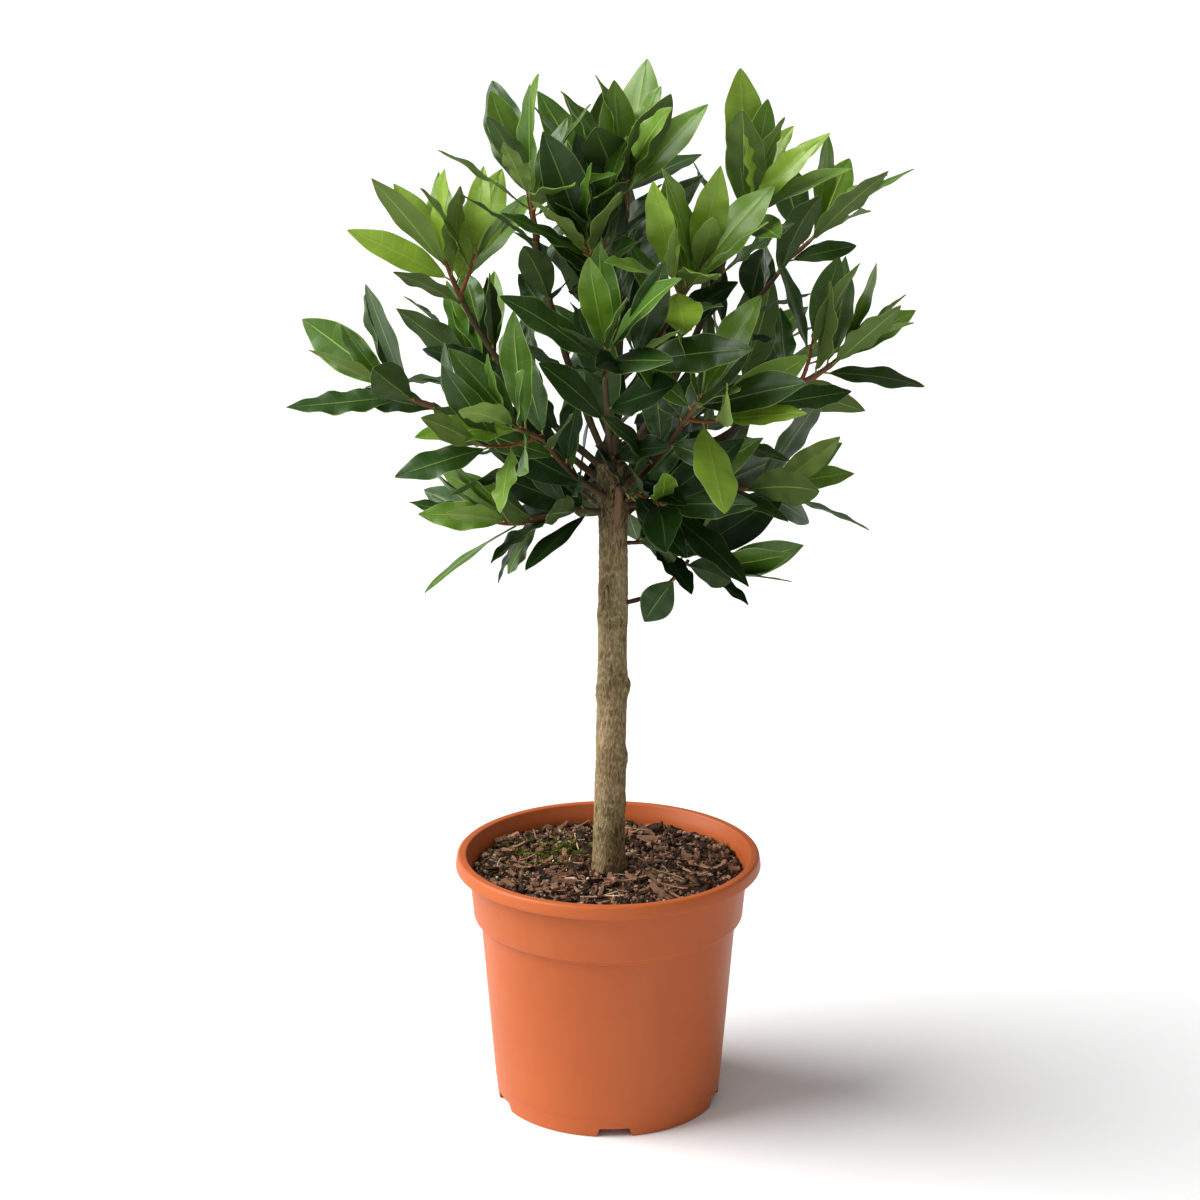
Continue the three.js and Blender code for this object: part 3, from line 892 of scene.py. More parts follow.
def bark_relief(place, angle, height):
    """How far the bark stands out, in metres, and its tone from 0, a fissure, to 1, a ridge: painted shade
    in fissures and scar hollows, a painted highlight on ridges and scar collars, painted shade under the
    crown, and darker towards the soil.
    """
    x, y = place.x, place.y
    network = noise.fractal(Vector((x, y, height * 0.3)) * 430, 0.8, 2.0, 3)
    layers = (
        (max(0.0, 1 - abs(network) * 4.2), RIDGE),
        (max(0.0, network - 0.3), FURROW),
        (noise.noise(Vector((x, y, height)) * 32), SWELL),
        (noise.noise(Vector((x * 0.4, y * 0.4, height * 1.5)) * 190 + Vector((9, 2, 4))), WRINKLE),
        (noise.noise(Vector((x, y, height * 0.5)) * 85 + Vector((1, 8, 2))), PATCH),
    )
    out = sum(value * layer[0] for value, layer in layers)
    tone = MEAN_TONE + sum(value * layer[1] for value, layer in layers) - darker_foot_and_head_shade(height / MM)
    for level, heading, size in SCARS:
        rise = (height / MM - level) / SCAR_RISE
        turn = math.remainder(angle - math.radians(heading), 2 * math.pi)
        reach = rise * rise + (turn / SCAR_TURN) ** 2
        if reach < SCAR_REACH:
            collar = math.exp(-reach)
            hollow = math.exp(-reach * 7)
            out += size * (1.1 * collar - 0.6 * hollow)
            # a scar's collar is painted lighter and its hollow darker, as painted highlight and painted
            # shade
            tone += 0.1 * collar - 0.42 * hollow
    return out * MM, min(1.0, max(0.0, tone))


def make_trunk():
    """The trunk's bark, as a fine mesh round the frame's trunk."""
    sides, rows = 150, 460
    foot = float(TRUNK[0, 0]) - 3 * MM
    head = float(TRUNK[-1, 0])
    vertices = []
    tones = []
    for i in range(rows):
        height = foot + (head - foot) * i / (rows - 1)
        centre, radius = trunk_axis(height)
        # the last 3 mm round off to the head
        close = max(0.0, 1 - (head - height) / (3 * MM))
        shrink = close ** 2 * 1.6 * MM
        flare = 1.3 * MM * math.exp(-(height - foot) / (16 * MM))
        for k in range(sides):
            angle = 2 * math.pi * k / sides
            out = Vector((math.cos(angle), math.sin(angle), 0))
            relief, tone = bark_relief(out * radius, angle, height)
            # root flare: shallow buttresses at the soil
            buttress = flare * math.sin(3 * angle + 0.7)
            vertices.append(centre + out * (radius + 0.4 * MM + relief + buttress - shrink))
            tones.append(tone)
    count = rows * sides
    faces = rings_of_quads(rows, sides) + end_fans(rows, sides, count, count + 1)
    vertices.append(trunk_axis(foot)[0])
    vertices.append(trunk_axis(head)[0] - UP * 0.6 * MM)
    tones += [0.4, 0.3]
    trunk = mesh_piece("trunk_bark", vertices, faces, [bark_material()])
    store_relief(trunk, tones)
    unwrap_round(trunk, foot, head)
    settle(trunk, "bark", "trunk")


def unwrap_round(piece, low, high):
    """A map that unrolls an upright limb."""
    margin = 0.02
    span = 1 - 2 * margin
    mesh = piece.data
    layer = mesh.uv_layers.new(name="OFBake")
    for polygon in mesh.polygons:
        middle = sum((mesh.vertices[i].co for i in polygon.vertices), Vector()) / len(polygon.vertices)
        centre = trunk_axis(middle.z)[0]
        turn = math.atan2(middle.y - centre.y, middle.x - centre.x)
        for loop in polygon.loop_indices:
            co = mesh.vertices[mesh.loops[loop].vertex_index].co
            angle = math.atan2(co.y - centre.y, co.x - centre.x)
            # a face across the seam stays whole, on its own side of it
            angle = turn + math.remainder(angle - turn, 2 * math.pi)
            u = margin + span * (angle / (2 * math.pi) + 0.5)
            v = margin + span * (co.z - low) / (high - low)
            layer.data[loop].uv = (u, v)


FORK = 500 * MM  # the height that the boughs start from


class Bough:
    """A frame bough: its centre line is fitted to its node, from the fork to its mass."""

    def __init__(self, name):
        low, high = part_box(f"leaf_mass_{name}")
        self.mass_centre = (low + high) / 2
        self.mass_half = (high - low) / 2
        points = np.array([v.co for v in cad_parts[f"bough_{name}"].data.vertices])
        middle = points.mean(0)
        axis = np.linalg.svd(points - middle)[2][0]
        along = (points - middle) @ axis
        fork = np.array(trunk_axis(FORK)[0])
        far, near = (np.linalg.norm(middle + axis * end - fork) for end in (along.max(), along.min()))
        if far < near:
            along = -along
        along = (along - along.min()) / (along.max() - along.min())
        self.fit = [np.polyfit(along, points[:, i], 2) for i in range(3)]
        line = np.stack([np.polyval(fit, along) for fit in self.fit], 1)
        self.radius = float(np.linalg.norm(points - line, axis=1).mean())

    def at(self, share):
        """The centre line's point at a share of its length."""
        return Vector(tuple(float(np.polyval(fit, share)) for fit in self.fit))

    def points(self, count, back):
        """The centre line, begun a little early so that its foot is inside its parent."""
        return [self.at(-back + (1 + back) * i / (count - 1)) for i in range(count)]


BOUGHS = {name: Bough(name) for name in MASSES}

# How far a limb swells at its nodes and in its skin, as shares of its radius.
NODE_RISE = 0.16
SKIN_RISE = 0.09
NODE_BREADTH = 0.55


def limb_ripple(rng):
    """Nodes and fine unevenness along a limb."""
    phase = rng.uniform(0, 6)
    beat = rng.uniform(3.2, 4.4)

    def ripple(i, angle):
        node = math.exp(-(((i + phase) % beat - beat / 2) / NODE_BREADTH) ** 2)
        skin = noise.noise(Vector((math.cos(angle) * 1.3, math.sin(angle) * 1.3, i * 0.6 + phase * 9)))
        return 1 + NODE_RISE * node + SKIN_RISE * skin

    return ripple


def stub_shape(rng):
    """The pruned stub at the trunk's head: fluted along its grain, torn at its end."""
    low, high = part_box("pruned_stub")
    centre = (low + high) / 2
    foot = Vector((centre.x * 0.55, centre.y * 0.35, low.z - 4 * MM))
    bend = Vector((centre.x, centre.y * 1.15, low.z + 5 * MM))
    count = 18
    points = curve_points(foot, bend, Vector((centre.x, centre.y * 1.12, high.z)), count)
    radii = tapering(3.5 * MM, 0.2, count)
    grain = limb_ripple(rng)

    def ripple(i, angle):
        flute = math.sin(5 * angle) * math.cos(2 * angle + 1)
        torn = 1 if i < count - 3 else 1 - 0.25 * math.sin(3 * angle + i)
        return grain(i, angle) * (1 + 0.2 * flute) * torn

    return tube(points, radii, 24, ripple)


SIDE_SHOOT_POINTS = 26


def side_shoot_line(count):
    """The thin shoot that leaves the bare trunk and climbs to the lowest mass."""
    low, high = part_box("side_shoot")
    foot = Vector((low.x - 6 * MM, high.y - 3 * MM, low.z + 3 * MM))
    bend = Vector((high.x * 0.72, low.y * 0.4, low.z + 8 * MM))
    return curve_points(foot, bend, Vector((high.x, low.y, high.z + 8 * MM)), count)


BOUGH_POINTS = 34
BOUGH_THICKNESS = 0.82  # share of the frame bough's own
BOUGH_TAPER = 0.28
BOUGH_COLLAR = (1.25, 1.15)  # swelling at the first two points
THICK_BOUGH = 2.5 * MM
BURIED = 9 * MM  # how far a bough's foot starts inside its parent


def make_boughs(rng):
    """All main boughs, the pruned stub and the side shoot."""
    batch = Batch()
    for bough in BOUGHS.values():
        length = (bough.at(1) - bough.at(0)).length
        points = bough.points(BOUGH_POINTS, min(0.5, BURIED / length))
        thick = bough.radius * BOUGH_THICKNESS
        radii = tapering(thick, BOUGH_TAPER, BOUGH_POINTS)
        for i, swelling in enumerate(BOUGH_COLLAR):
            radii[i] *= swelling
        batch.add(*tube(points, radii, 14, limb_ripple(rng)), 0 if thick > THICK_BOUGH else 1)
    batch.add(*stub_shape(rng), 3)
    radii = tapering(1.9 * MM, 0.35, SIDE_SHOOT_POINTS)
    batch.add(*tube(side_shoot_line(SIDE_SHOOT_POINTS), radii, 10, limb_ripple(rng)), 2)
    # the bough tones are darkened as painted shade inside the crown
    tones = [
        twig_material("bough_olive", (0.08, 0.056, 0.029), 0.75),
        twig_material("bough_brown", (0.07, 0.04, 0.02), 0.65),
        twig_material("side_shoot_brown", (0.05, 0.028, 0.018), 0.65),
        twig_material("stub_brown", (0.15, 0.088, 0.046), 0.75),
    ]
    nodes = [f"bough_{name}" for name in BOUGHS] + ["pruned_stub", "side_shoot"]
    settle(batch.piece("boughs", tones), "bark", *nodes)


# ---- leaves

# Tones of leaf skin, dealt out by spray: upper skin, vein, underside. Deep and dark are shaded copies of
# the leaf and bright a lit one, dealt out as painted shade and light; a young leaf also takes a step
# lighter.
TONES = {
    "deep": ((0.007, 0.024, 0.003), (0.01, 0.031, 0.004), (0.026, 0.05, 0.012)),
    "dark": ((0.021, 0.057, 0.006), (0.028, 0.071, 0.008), (0.052, 0.09, 0.024)),
    "mid": ((0.052, 0.122, 0.008), (0.064, 0.144, 0.012), (0.09, 0.146, 0.034)),
    "bright": ((0.102, 0.2, 0.012), (0.122, 0.225, 0.018), (0.128, 0.192, 0.042)),
    "fresh": ((0.2, 0.325, 0.026), (0.23, 0.36, 0.036), (0.185, 0.27, 0.06)),
}
TONE_NAMES = list(TONES)
TONE_STEPS = 3
RIB = TONE_STEPS * len(TONES)  # the first slot of the midribs and margins

# Places across a leaf, as shares of its half width: margin, blade, and the midrib in the middle.
COLUMNS = np.array([-1, -0.95, -0.66, -0.34, -0.03, 0, 0.03, 0.34, 0.66, 0.95, 1])


def leaf_rows():
    """Shares of the leaf's length at its rows, and which rows open a vein or lie between veins."""
    half_vein = 0.006
    first, last = 0.1, 0.88
    rows = [(0.0, 0), (0.045, 1)]
    step = (last - first) / (VEINS - 1)
    for i in range(VEINS):
        middle = first + step * i
        rows += [(middle - half_vein, 2), (middle + half_vein, 0)]
        if i < VEINS - 1:
            rows.append((middle + step / 2, 1))
    rows += [(0.94, 1), (0.975, 0), (1.0, 0)]
    return np.array([row[0] for row in rows]), np.array([row[1] for row in rows])


ROWS, ROW_KIND = leaf_rows()


def leaf_faces(tone):
    """Faces of a closed leaf, and the slot of each, for a tone's number."""
    across = len(COLUMNS)
    down = len(ROWS)
    under = across * down
    skin, vein, back = (tone * TONE_STEPS + i for i in range(TONE_STEPS))
    midrib = RIB + 2 * min(tone, 2)
    margin = midrib + 1
    faces = []
    slots = []
    for i in range(down - 1):
        for j in range(across - 1):
            a = i * across + j
            edge = j in (0, across - 2)
            rib = j in (across // 2 - 1, across // 2)
            top = margin if edge else midrib if rib else vein if ROW_KIND[i] == 2 else skin
            faces.append((a, a + across, a + across + 1, a + 1))
            slots.append(top)
            faces.append((under + a, under + a + 1, under + a + across + 1, under + a + across))
            slots.append(midrib if rib else back)
        left = i * across
        right = left + across - 1
        faces.append((left, under + left, under + left + across, left + across))
        faces.append((right, right + across, under + right + across, under + right))
        slots += [margin, margin]
    for j in range(across - 1):
        foot = j
        tip = (down - 1) * across + j
        faces.append((foot, foot + 1, under + foot + 1, under + foot))
        faces.append((tip, under + tip, under + tip + 1, tip + 1))
        slots += [midrib, margin]
    return faces, slots


LEAF_FACES = [leaf_faces(tone) for tone in range(len(TONES))]


# The leaf's relief: a raised midrib in a groove, and swelling between the veins.
VEIN_SLANT = 0.22
LEAST_HALF_WIDTH = 0.25 * MM
RIB_RISE = 0.12 * MM
RIB_GROOVE = -0.1 * MM
RIB_THICKNESS = 0.75 * MM
RIB_REACH = 0.1  # share of the half width
SWELLING = 0.2 * MM
EDGE_THINNING = 0.4
PATH_STEPS = 40

# The small bends of a leaf: limits between which each is drawn, in this order. Ripple is in
# millimetres and fold in degrees; curl, lift, bow and twist are in radians.
BENDS = {
    "belly": (0.88, 1.12),
    "fullness": (0.78, 0.95),
    "waves": (2.2, 3.8),
    "phase": (0, 6.3),
    "offset": (1.5, 4.5),
    "fold": (4, 16),
    "camber": (0.02, 0.12),
    "ripple": (0.6, 2.0),
    "curl": (0.0, 0.28),
    "lift": (0, 0.15),
    "bow": (-0.14, 0.14),
    "twist": (-0.25, 0.25),
}


def leaf_vertices(leaf):
    """A leaf's two skins, in the frame, from its size, its place and its bends."""
    spread = np.abs(COLUMNS)[None, :]
    on_rib = spread < RIB_REACH
    share = ROWS[:, None] + VEIN_SLANT * spread * (ROWS * (1 - ROWS))[:, None]
    share = np.clip(share, 0, 1)
    outline = np.sin(math.pi * share ** leaf["belly"]) ** leaf["fullness"]
    half = leaf["width"] / 2 * outline + LEAST_HALF_WIDTH
    across = COLUMNS[None, :] * half
    # how the blade leaves its own plane: fold, camber, wave of the margin, swelling between veins
    fold = math.tan(math.radians(leaf["fold"]))
    phase = leaf["phase"] + (COLUMNS > 0)[None, :] * leaf["offset"]
    wave = np.sin(2 * math.pi * leaf["waves"] * share + phase) * np.sin(math.pi * share)
    swelling = (ROW_KIND == 1)[:, None] * ~on_rib * (spread < 0.9)
    rib_line = np.where(spread == 0, RIB_RISE, np.where(on_rib, RIB_GROOVE, 0))
    lift = np.abs(across) * fold - leaf["camber"] * spread ** 2 * half
    lift = lift + leaf["ripple"] * MM * wave * spread ** 2 + SWELLING * swelling + rib_line
    # the midrib's own curve
    steps = np.linspace(0, 1, PATH_STEPS + 1)
    lean = -leaf["curl"] * steps ** 1.6 + leaf["lift"] * (1 - steps) ** 2
    sway = leaf["bow"] * steps ** 1.5
    centre = []
    for way in (np.cos(lean) * np.cos(sway), np.cos(lean) * np.sin(sway), np.sin(lean)):
        path = np.concatenate([[0], np.cumsum((way[1:] + way[:-1]) / 2)])
        centre.append(np.interp(share, steps, path * leaf["length"] / PATH_STEPS))
    angle = np.interp(share, steps, lean)
    cos_twist = np.cos(leaf["twist"] * share)
    sin_twist = np.sin(leaf["twist"] * share)
    thick = LEAF_THICKNESS * (1 - EDGE_THINNING * spread) + on_rib * RIB_THICKNESS * (1 - 0.75 * share)

    def place(offset):
        """Points that far above the blade's middle, in the leaf's own axes."""
        height = across * sin_twist + offset * cos_twist
        x = centre[0] - np.sin(angle) * height
        y = centre[1] + across * cos_twist - offset * sin_twist
        z = centre[2] + np.cos(angle) * height
        return np.stack([x, y, z], -1).reshape(-1, 3)

    local = np.concatenate([place(lift), place(lift - thick)])
    return local @ leaf["turn"].T + leaf["foot"]


class Crown:
    """Everything that grows: leaves by piece, petioles, shoots and buds."""

    def __init__(self):
        self.leaves = {}
        self.petioles = Batch()
        self.shoots = Batch()
        self.buds = Batch()
        self.taken = np.zeros((0, 3))

    def clearance(self, samples):
        """How far sample points keep from the leaves already grown: their mean gap plus the least."""
        if not len(self.taken):
            return 1.0
        gaps = np.linalg.norm(samples[:, None, :] - self.taken[None, :, :], axis=2)
        return float(gaps.min(1).mean() + gaps.min())

    def add_leaf(self, piece, leaf, tone):
        """Adds a leaf to its piece, in a tone given by number."""
        batch = self.leaves.setdefault(piece, Batch())
        faces, slots = LEAF_FACES[tone]
        batch.add(leaf_vertices(leaf), faces, slots)


def leaf_frame(direction, facing):
    """Turns a leaf's own axes, along, across and up, to a direction and the side that faces the light."""
    along = direction.normalized()
    up = (facing - along * facing.dot(along)).normalized()
    across = up.cross(along)
    return np.array([along, across, up]).T


# Points on a blade that keep leaves apart: shares of its length and half width.
SPOTS = ((0.3, 0), (0.55, 0), (0.8, 0), (1, 0), (0.5, 1), (0.5, -1), (0.75, 0.7), (0.75, -0.7))


def leaf_samples(turn, foot, length, width):
    """A few points on a leaf's blade, in the frame."""
    return np.array([(t * length, u * width / 2, 0) for t, u in SPOTS]) @ turn.T + foot


def overreach(samples):
    """How far a leaf would grow out of the frame's box, or hang below the crown's hem."""
    low, high = (np.array(corner) for corner in CAD_BOX)
    low[2] = HEM
    return float(max(0, (low - samples).max(), (samples - high).max()))


# No leaf is this near to the trunk's axis below the fork, unless it is further back than this.
CLEAR_BESIDE = 17 * MM
CLEAR_BEHIND = 14 * MM


def hides_head(samples):
    """Whether a leaf would cross the trunk, or hang in front of its pruned head."""
    axis = trunk_axis(FORK)[0]
    low = samples[samples[:, 2] < FORK]
    beside = np.abs(low[:, 0] - axis.x) < CLEAR_BESIDE
    return bool((beside & (low[:, 1] < CLEAR_BEHIND)).any())


# The crown's middle, which leaves grow away from, and how strongly they are drawn outwards and up.
HUB = trunk_axis(FORK)[0] + UP * 40 * MM
OUT_PULL = 0.1
UP_PULL = 0.28
# A leaf tries this many headings, and takes the first with enough room, or else the best.
LEAF_TRIES = 7
ENOUGH_ROOM = 34 * MM
OVERREACH_COST = 4
# A leaf that still reaches out is grown smaller step by step, down to a share of the least length.
SHORTEN = 0.94
NARROW = 0.96
SMALLEST = 0.6


def grow_leaf(rng, crown, piece, node, stem, heading, opening, size, tone):
    """One leaf at a node: it leaves the stem at an angle, turns to the light and keeps off others."""
    best = None
    length = rng.uniform(*LEAF_LENGTH) * size
    width = length * rng.uniform(*LEAF_ASPECT)
    radial = stem.orthogonal().normalized()
    outward = (node - HUB).normalized()
    roll = rng.gauss(0, 0.3)
    for attempt in range(LEAF_TRIES):
        swing = heading + (rng.uniform(-0.5, 0.5) if attempt else 0)
        angle = opening + (rng.uniform(-0.2, 0.2) if attempt else 0)
        side = Matrix.Rotation(swing, 3, stem) @ radial
        direction = stem * math.cos(angle) + side * math.sin(angle) + outward * OUT_PULL + UP * UP_PULL
        direction.normalize()
        facing = stem - side * 0.35 + UP * 0.4 + outward * 0.3 + LIGHT_SIDE * LIGHT_PULL
        turn = leaf_frame(direction, Matrix.Rotation(roll, 3, direction) @ facing)
        foot = np.array(node + direction * PETIOLE * size)
        samples = leaf_samples(turn, foot, length, width)
        room = crown.clearance(samples) - OVERREACH_COST * overreach(samples)
        if best is None or room > best[0]:
            best = (room, direction, turn, foot, samples)
        if room > ENOUGH_ROOM:
            break
    _, direction, turn, foot, samples = best
    while overreach(samples) > 0 and length > LEAF_LENGTH[0] * SMALLEST:
        length *= SHORTEN
        width *= NARROW
        samples = leaf_samples(turn, foot, length, width)
    if hides_head(samples):
        return
    crown.taken = np.concatenate([crown.taken, samples])
    unfold(rng, crown, piece, tone, node, direction, turn, foot, length, width)


STALK_RADII = [1.0 * MM, 0.85 * MM, 0.75 * MM, 0.72 * MM, 0.6 * MM]


def unfold(rng, crown, piece, tone, node, direction, turn, foot, length, width):
    """The leaf itself, with its own small bends, and the petiole that carries it."""
    leaf = {name: rng.uniform(*limits) for name, limits in BENDS.items()}
    leaf.update(length=length, width=width, turn=turn, foot=foot)
    crown.add_leaf(piece, leaf, tone)
    end = Vector(foot) + direction * 1.5 * MM
    stalk = curve_points(node, (node + end) / 2 - UP * 0.4 * MM, end, len(STALK_RADII))
    crown.petioles.add(*tube(stalk, STALK_RADII, 7), 0)


def grow_side_leaf(rng, crown):
    """The one short, broad leaf of the side shoot."""
    node = side_shoot_line(SIDE_SHOOT_POINTS)[20]
    direction = Vector((-0.6, -0.15, -0.75)).normalized()
    turn = leaf_frame(direction, Vector((0.1, -1, 0.25)))
    foot = np.array(node + direction * PETIOLE)
    unfold(rng, crown, "right", 1, node, direction, turn, foot, 38 * MM, 26 * MM)


# A bud's points along it and its radii there, as shares of its length.
BUD_POINTS = (0, 0.18, 0.4, 0.62, 0.84, 1.0)
BUD_RADII = (0.16, 0.25, 0.27, 0.2, 0.11, 0.03)


def bud_shape(place, direction, size):
    """A small pointed bud of overlapping scales."""
    points = [place + direction * size * share for share in BUD_POINTS]
    radii = [size * share for share in BUD_RADII]
    return tube(points, radii, 8, lambda i, angle: 1 + 0.1 * math.cos(2 * angle + i * 1.6))


SHOOT_POINTS = 16
SHOOT_TAPER = 0.42
FIRST_LEAF = 0.32  # share of a shoot below which it is bare
YOUNG = 0.3  # leaves of less than this age, on a scale from 0 to 1, are a step lighter
SIDE_BUD = 3 * MM
END_BUD = 6.5 * MM


def near_tone(rng, tone, step=0):
    """A tone's number, with a step darker or lighter at random."""
    return max(0, min(len(TONES) - 1, tone + rng.choice((-1, 0, 0, 1)) + step))


def grow_shoot(rng, crown, piece, start, heading, end, aim, leaves, size, tone, thick):
    """A leafy shoot that bends from its heading up to its aim, its leaves at the golden angle, its bud."""
    count = SHOOT_POINTS
    length = (end - start).length
    bend = (start + heading * length * 0.5 + end - aim * length * 0.5) / 2
    points = curve_points(start, bend, end, count)
    tangents, _ = frame_along(points)
    radii = tapering(thick, SHOOT_TAPER, count)
    crown.shoots.add(*tube(points, radii, 9, limb_ripple(rng)), 0 if thick > 2 * MM else 1)
    turn = rng.uniform(0, 2 * math.pi)
    for i in range(leaves):
        share = FIRST_LEAF + (1 - FIRST_LEAF) * ((i + 0.5) / leaves) ** 0.85
        at = min(count - 1.001, share * (count - 1))
        low = int(at)
        node = points[low].lerp(points[low + 1], at - low)
        age = 1 - i / max(1, leaves - 1)
        opening = math.radians(18 + 46 * age ** 0.9)
        grown = 0.66 + 0.34 * min(1, 2.2 * age + 0.2)
        shade = near_tone(rng, tone, step=age < YOUNG)
        grow_leaf(rng, crown, piece, node, tangents[low], turn, opening, size * grown, shade)
        place = node + tangents[low] * 1.6 * MM
        crown.buds.add(*bud_shape(place, (tangents[low] + UP * 0.2).normalized(), SIDE_BUD), 0)
        turn += GOLDEN
    crown.buds.add(*bud_shape(end, tangents[-1], END_BUD), 0)
    return points


# How far shoots lean outwards, at these heights in metres.
LEAN_HEIGHTS = (0.45, 0.52, 0.6, 0.74)
LEANS = (0.75, 0.65, 0.5, 0.3)


def shoot_aim(centre):
    """Where a mass's shoots point: almost straight up in the crown's top, outwards at its foot."""
    outward = Vector((centre.x, centre.y, 0))
    lean = float(np.interp(centre.z, LEAN_HEIGHTS, LEANS))
    reach = min(1.0, outward.length / (90 * MM))
    return (UP + outward.normalized() * lean * reach).normalized(), outward.normalized()


# Leaves along a bough: the stretch of it that they stand on, and the share below which they take a deep or
# dark tone and above which a tone a step darker than their mass's, all as painted shade inside the crown.
BOUGH_LEAVES = (0.25, 0.95)
INNER_SHADE_BELOW = 0.7


def grow_mass(rng, crown, name):
    """One frame mass, as the shoots that grow on from its bough."""
    piece, shoots, tone_name = MASSES[name]
    tone = TONE_NAMES.index(tone_name)
    bough = BOUGHS[name]
    heading = (bough.at(1) - bough.at(0.8)).normalized()
    centre = bough.mass_centre
    half = min(bough.mass_half)
    aim, outward = shoot_aim(centre)
    foot = bough.at(1) - heading * 4 * MM
    end = centre - aim * 20 * MM
    main = grow_shoot(rng, crown, piece, foot, heading, end, aim, LEAVES_ON_MAIN, 1.0, tone,
                      bough.radius * 0.75)
    turn = rng.uniform(0, 2 * math.pi)
    for i in range(shoots - 1):
        at = 2 + 3 * i
        side = Matrix.Rotation(turn, 3, aim) @ aim.orthogonal().normalized()
        side = (side + outward * 0.35).normalized()
        tip = centre + side * half * 0.5 - aim * 26 * MM
        way = (tip - main[at]).normalized()
        shade = near_tone(rng, tone)
        grow_shoot(rng, crown, piece, main[at], way, tip, (aim + side * 0.7).normalized(),
                   LEAVES_ON_SIDE, 0.92, shade, bough.radius * 0.5)
        turn += GOLDEN
    first, last = BOUGH_LEAVES
    for i in range(LEAVES_ON_BOUGH):
        share = first + (last - first) * i / (LEAVES_ON_BOUGH - 1)
        stem = (bough.at(share + 0.05) - bough.at(share)).normalized()
        node = bough.at(share) + stem.orthogonal() * bough.radius * 0.2
        # leaves inside the crown take shaded copies of the leaf tones, as painted shade
        shade = rng.choice((0, 0, 1)) if share < INNER_SHADE_BELOW else max(0, tone - 1)
        size = rng.uniform(0.65, 0.92)
        grow_leaf(rng, crown, piece, node, stem, turn, math.radians(55), size, shade)
        turn += GOLDEN


# Midribs and margins in three strengths, for deep, dark and paler leaves.
RIBS = (
    ("shaded", (0.05, 0.09, 0.015), (0.045, 0.08, 0.016)),
    ("plain", (0.17, 0.25, 0.05), (0.14, 0.21, 0.05)),
    ("light", (0.27, 0.38, 0.08), (0.23, 0.33, 0.08)),
)
# Specular and coat of the upper skin: dull on deep leaves, waxy on the others.
DULL = (0.12, 0.03)
WAXY = (0.3, 0.12)


def leaf_materials():
    """The leaves' materials, in the order of their slots."""
    materials = []
    for name, (skin, vein, back) in TONES.items():
        shine = DULL if name == "deep" else WAXY
        materials.append(leaf_material(f"leaf_{name}", skin, 0.4, *shine))
        materials.append(leaf_material(f"vein_{name}", vein, 0.44, *shine))
        materials.append(leaf_material(f"underside_{name}", back, 0.65, 0.12, 0.0))
    for name, midrib, margin in RIBS:
        materials.append(leaf_material(f"midrib_{name}", midrib, 0.5, 0.2, 0.0))
        materials.append(leaf_material(f"margin_{name}", margin, 0.5, 0.2, 0.0))
    return materials


def make_crown():
    """Everything that grows on from the boughs, as leaf pieces, shoots, petioles and buds."""
    rng = random.Random(CROWN_SEED)
    crown = Crown()
    for name in MASSES:
        grow_mass(rng, crown, name)
    grow_side_leaf(rng, crown)
    materials = leaf_materials()
    for piece, batch in crown.leaves.items():
        nodes = [f"leaf_mass_{name}" for name, (group, _, _) in MASSES.items() if group == piece]
        leaves = batch.piece(f"leaves_{piece}", materials, sharp=50)
        settle(leaves, "foliage", *nodes)
    stems = [
        twig_material("shoot_brown", (0.14, 0.068, 0.03), 0.55),
        twig_material("shoot_red", (0.19, 0.06, 0.025), 0.5),
    ]
    settle(crown.shoots.piece("shoots", stems), "young_bark")
    stalk = twig_material("petiole", (0.3, 0.24, 0.06), 0.45)
    settle(crown.petioles.piece("petioles", [stalk]), "young_bark")
    bud = twig_material("bud", (0.28, 0.2, 0.07), 0.5)
    settle(crown.buds.piece("buds", [bud]), "young_bark")


# ---- stage, lights, camera

FLOOR_REACH = 60
FLOOR_COLOUR = (0.86, 0.86, 0.86)
AMBIENT = 0.25  # strength of the surroundings as a light
# Suns: name, energy, breadth in degrees, and the way that they shine.
SUNS = (
    ("key", 5.6, 56, (0.85, 0.0, -0.73)),
    ("fill", 0.6, 100, (0.1, 0.85, -0.5)),
)
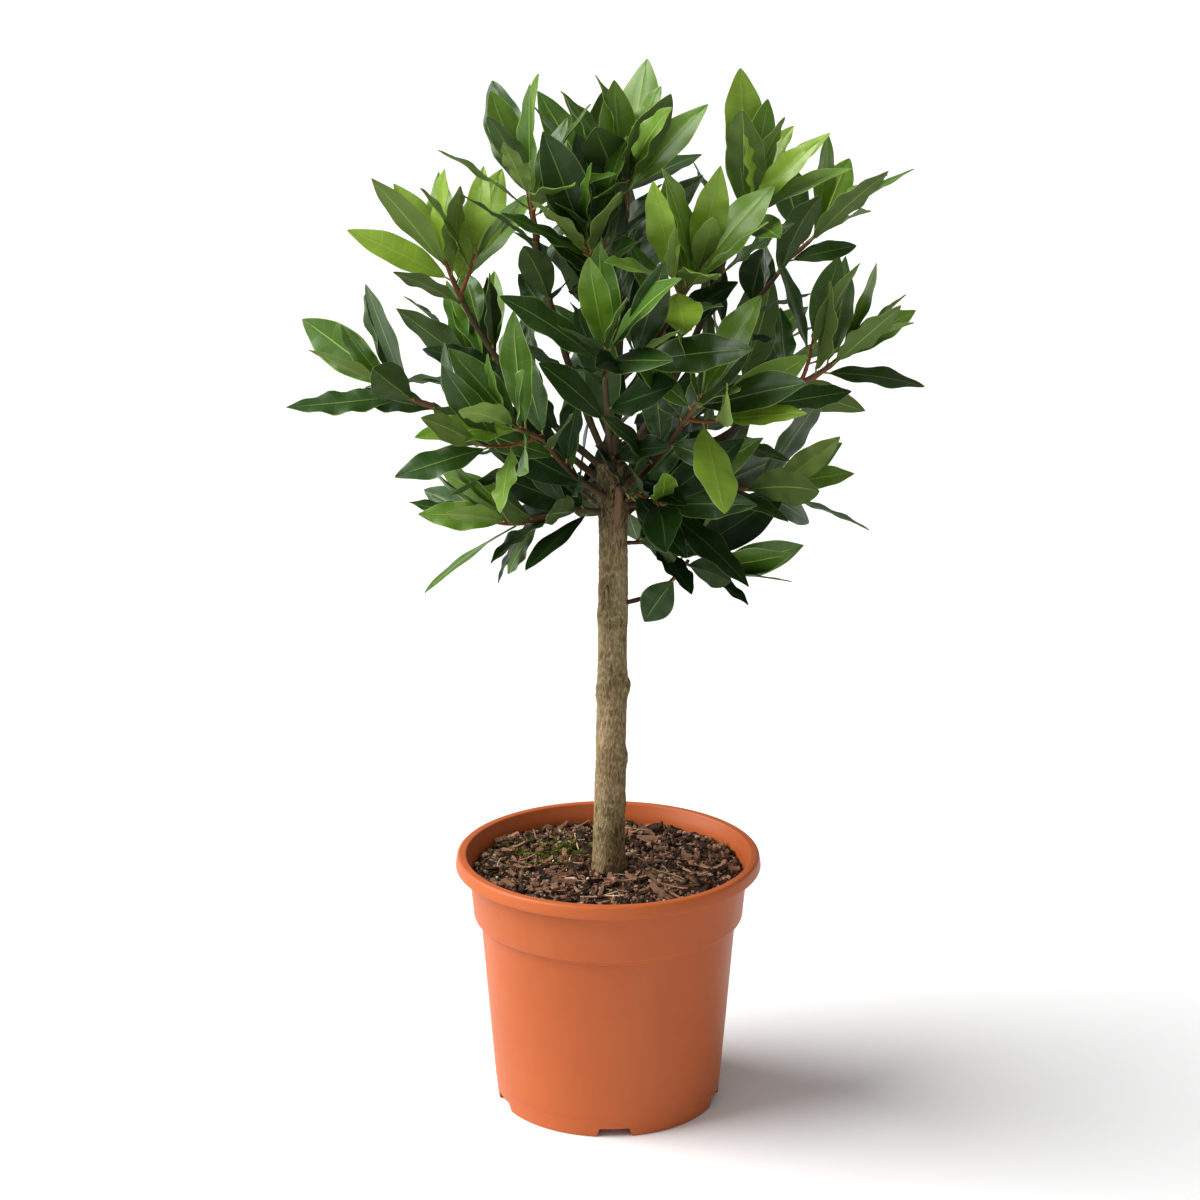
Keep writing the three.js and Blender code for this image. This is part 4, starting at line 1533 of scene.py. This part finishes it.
# The camera: the point it looks at, how far off it stands, how far it looks down, and its lens.
TARGET = Vector((-6.4 * MM, 0, 402 * MM))
DISTANCE = 2.2
PITCH = math.radians(15.8)
LENS = 87.4
SENSOR = 36


def make_stage():
    """A pale floor that runs on past the picture's edges."""
    corners = [(x * FLOOR_REACH, y * FLOOR_REACH, 0) for x, y in ((-1, -1), (1, -1), (1, 1), (-1, 1))]
    look = Look("floor", FLOOR_COLOUR, roughness=0.8, specular=0.1)
    mesh_piece("floor", corners, [(0, 1, 2, 3)], [look.material], smooth=False)


def aimed(name, data, way):
    """An object for a light or a camera that looks the given way."""
    thing = bpy.data.objects.new(name, data)
    bpy.context.scene.collection.objects.link(thing)
    thing.rotation_mode = "QUATERNION"
    thing.rotation_quaternion = way.to_track_quat("-Z", "Y")
    return thing


def make_lights():
    """A broad soft light from the left, a weak one from the front, and pale studio surroundings."""
    world = bpy.data.worlds.new("studio")
    bpy.context.scene.world = world
    world.use_nodes = True
    nodes, links = world.node_tree.nodes, world.node_tree.links
    background = nodes["Background"]
    background.inputs["Color"].default_value = (1, 1, 1, 1)
    # white where they show behind the floor, and only faint as a light
    path = nodes.new("ShaderNodeLightPath")
    strength = map_range(nodes, links, path.outputs["Is Camera Ray"], AMBIENT, 1.0)
    links.new(strength, background.inputs["Strength"])
    for name, energy, breadth, way in SUNS:
        sun = bpy.data.lights.new(name, "SUN")
        sun.energy = energy
        sun.angle = math.radians(breadth)
        aimed(name, sun, Vector(way))


def make_camera():
    """Looks slightly down from the front, with a long lens."""
    data = bpy.data.cameras.new("camera")
    data.sensor_width = SENSOR
    data.lens = LENS
    offset = Vector((0, -math.cos(PITCH), math.sin(PITCH))) * DISTANCE
    camera = aimed("camera", data, -offset)
    camera.location = TARGET + offset
    bpy.context.scene.camera = camera


def main():
    """Makes the studio, then the plant from the pot upwards."""
    bpy.context.scene.view_settings.view_transform = "Standard"
    make_camera()
    make_lights()
    make_stage()
    make_pot()
    rng = random.Random(SOIL_SEED)
    make_soil_bed()
    make_crumbs(rng)
    make_chips(rng)
    make_straw(rng)
    make_grit(rng)
    make_moss(rng)
    make_trunk()
    make_boughs(rng)
    make_crown()


main()
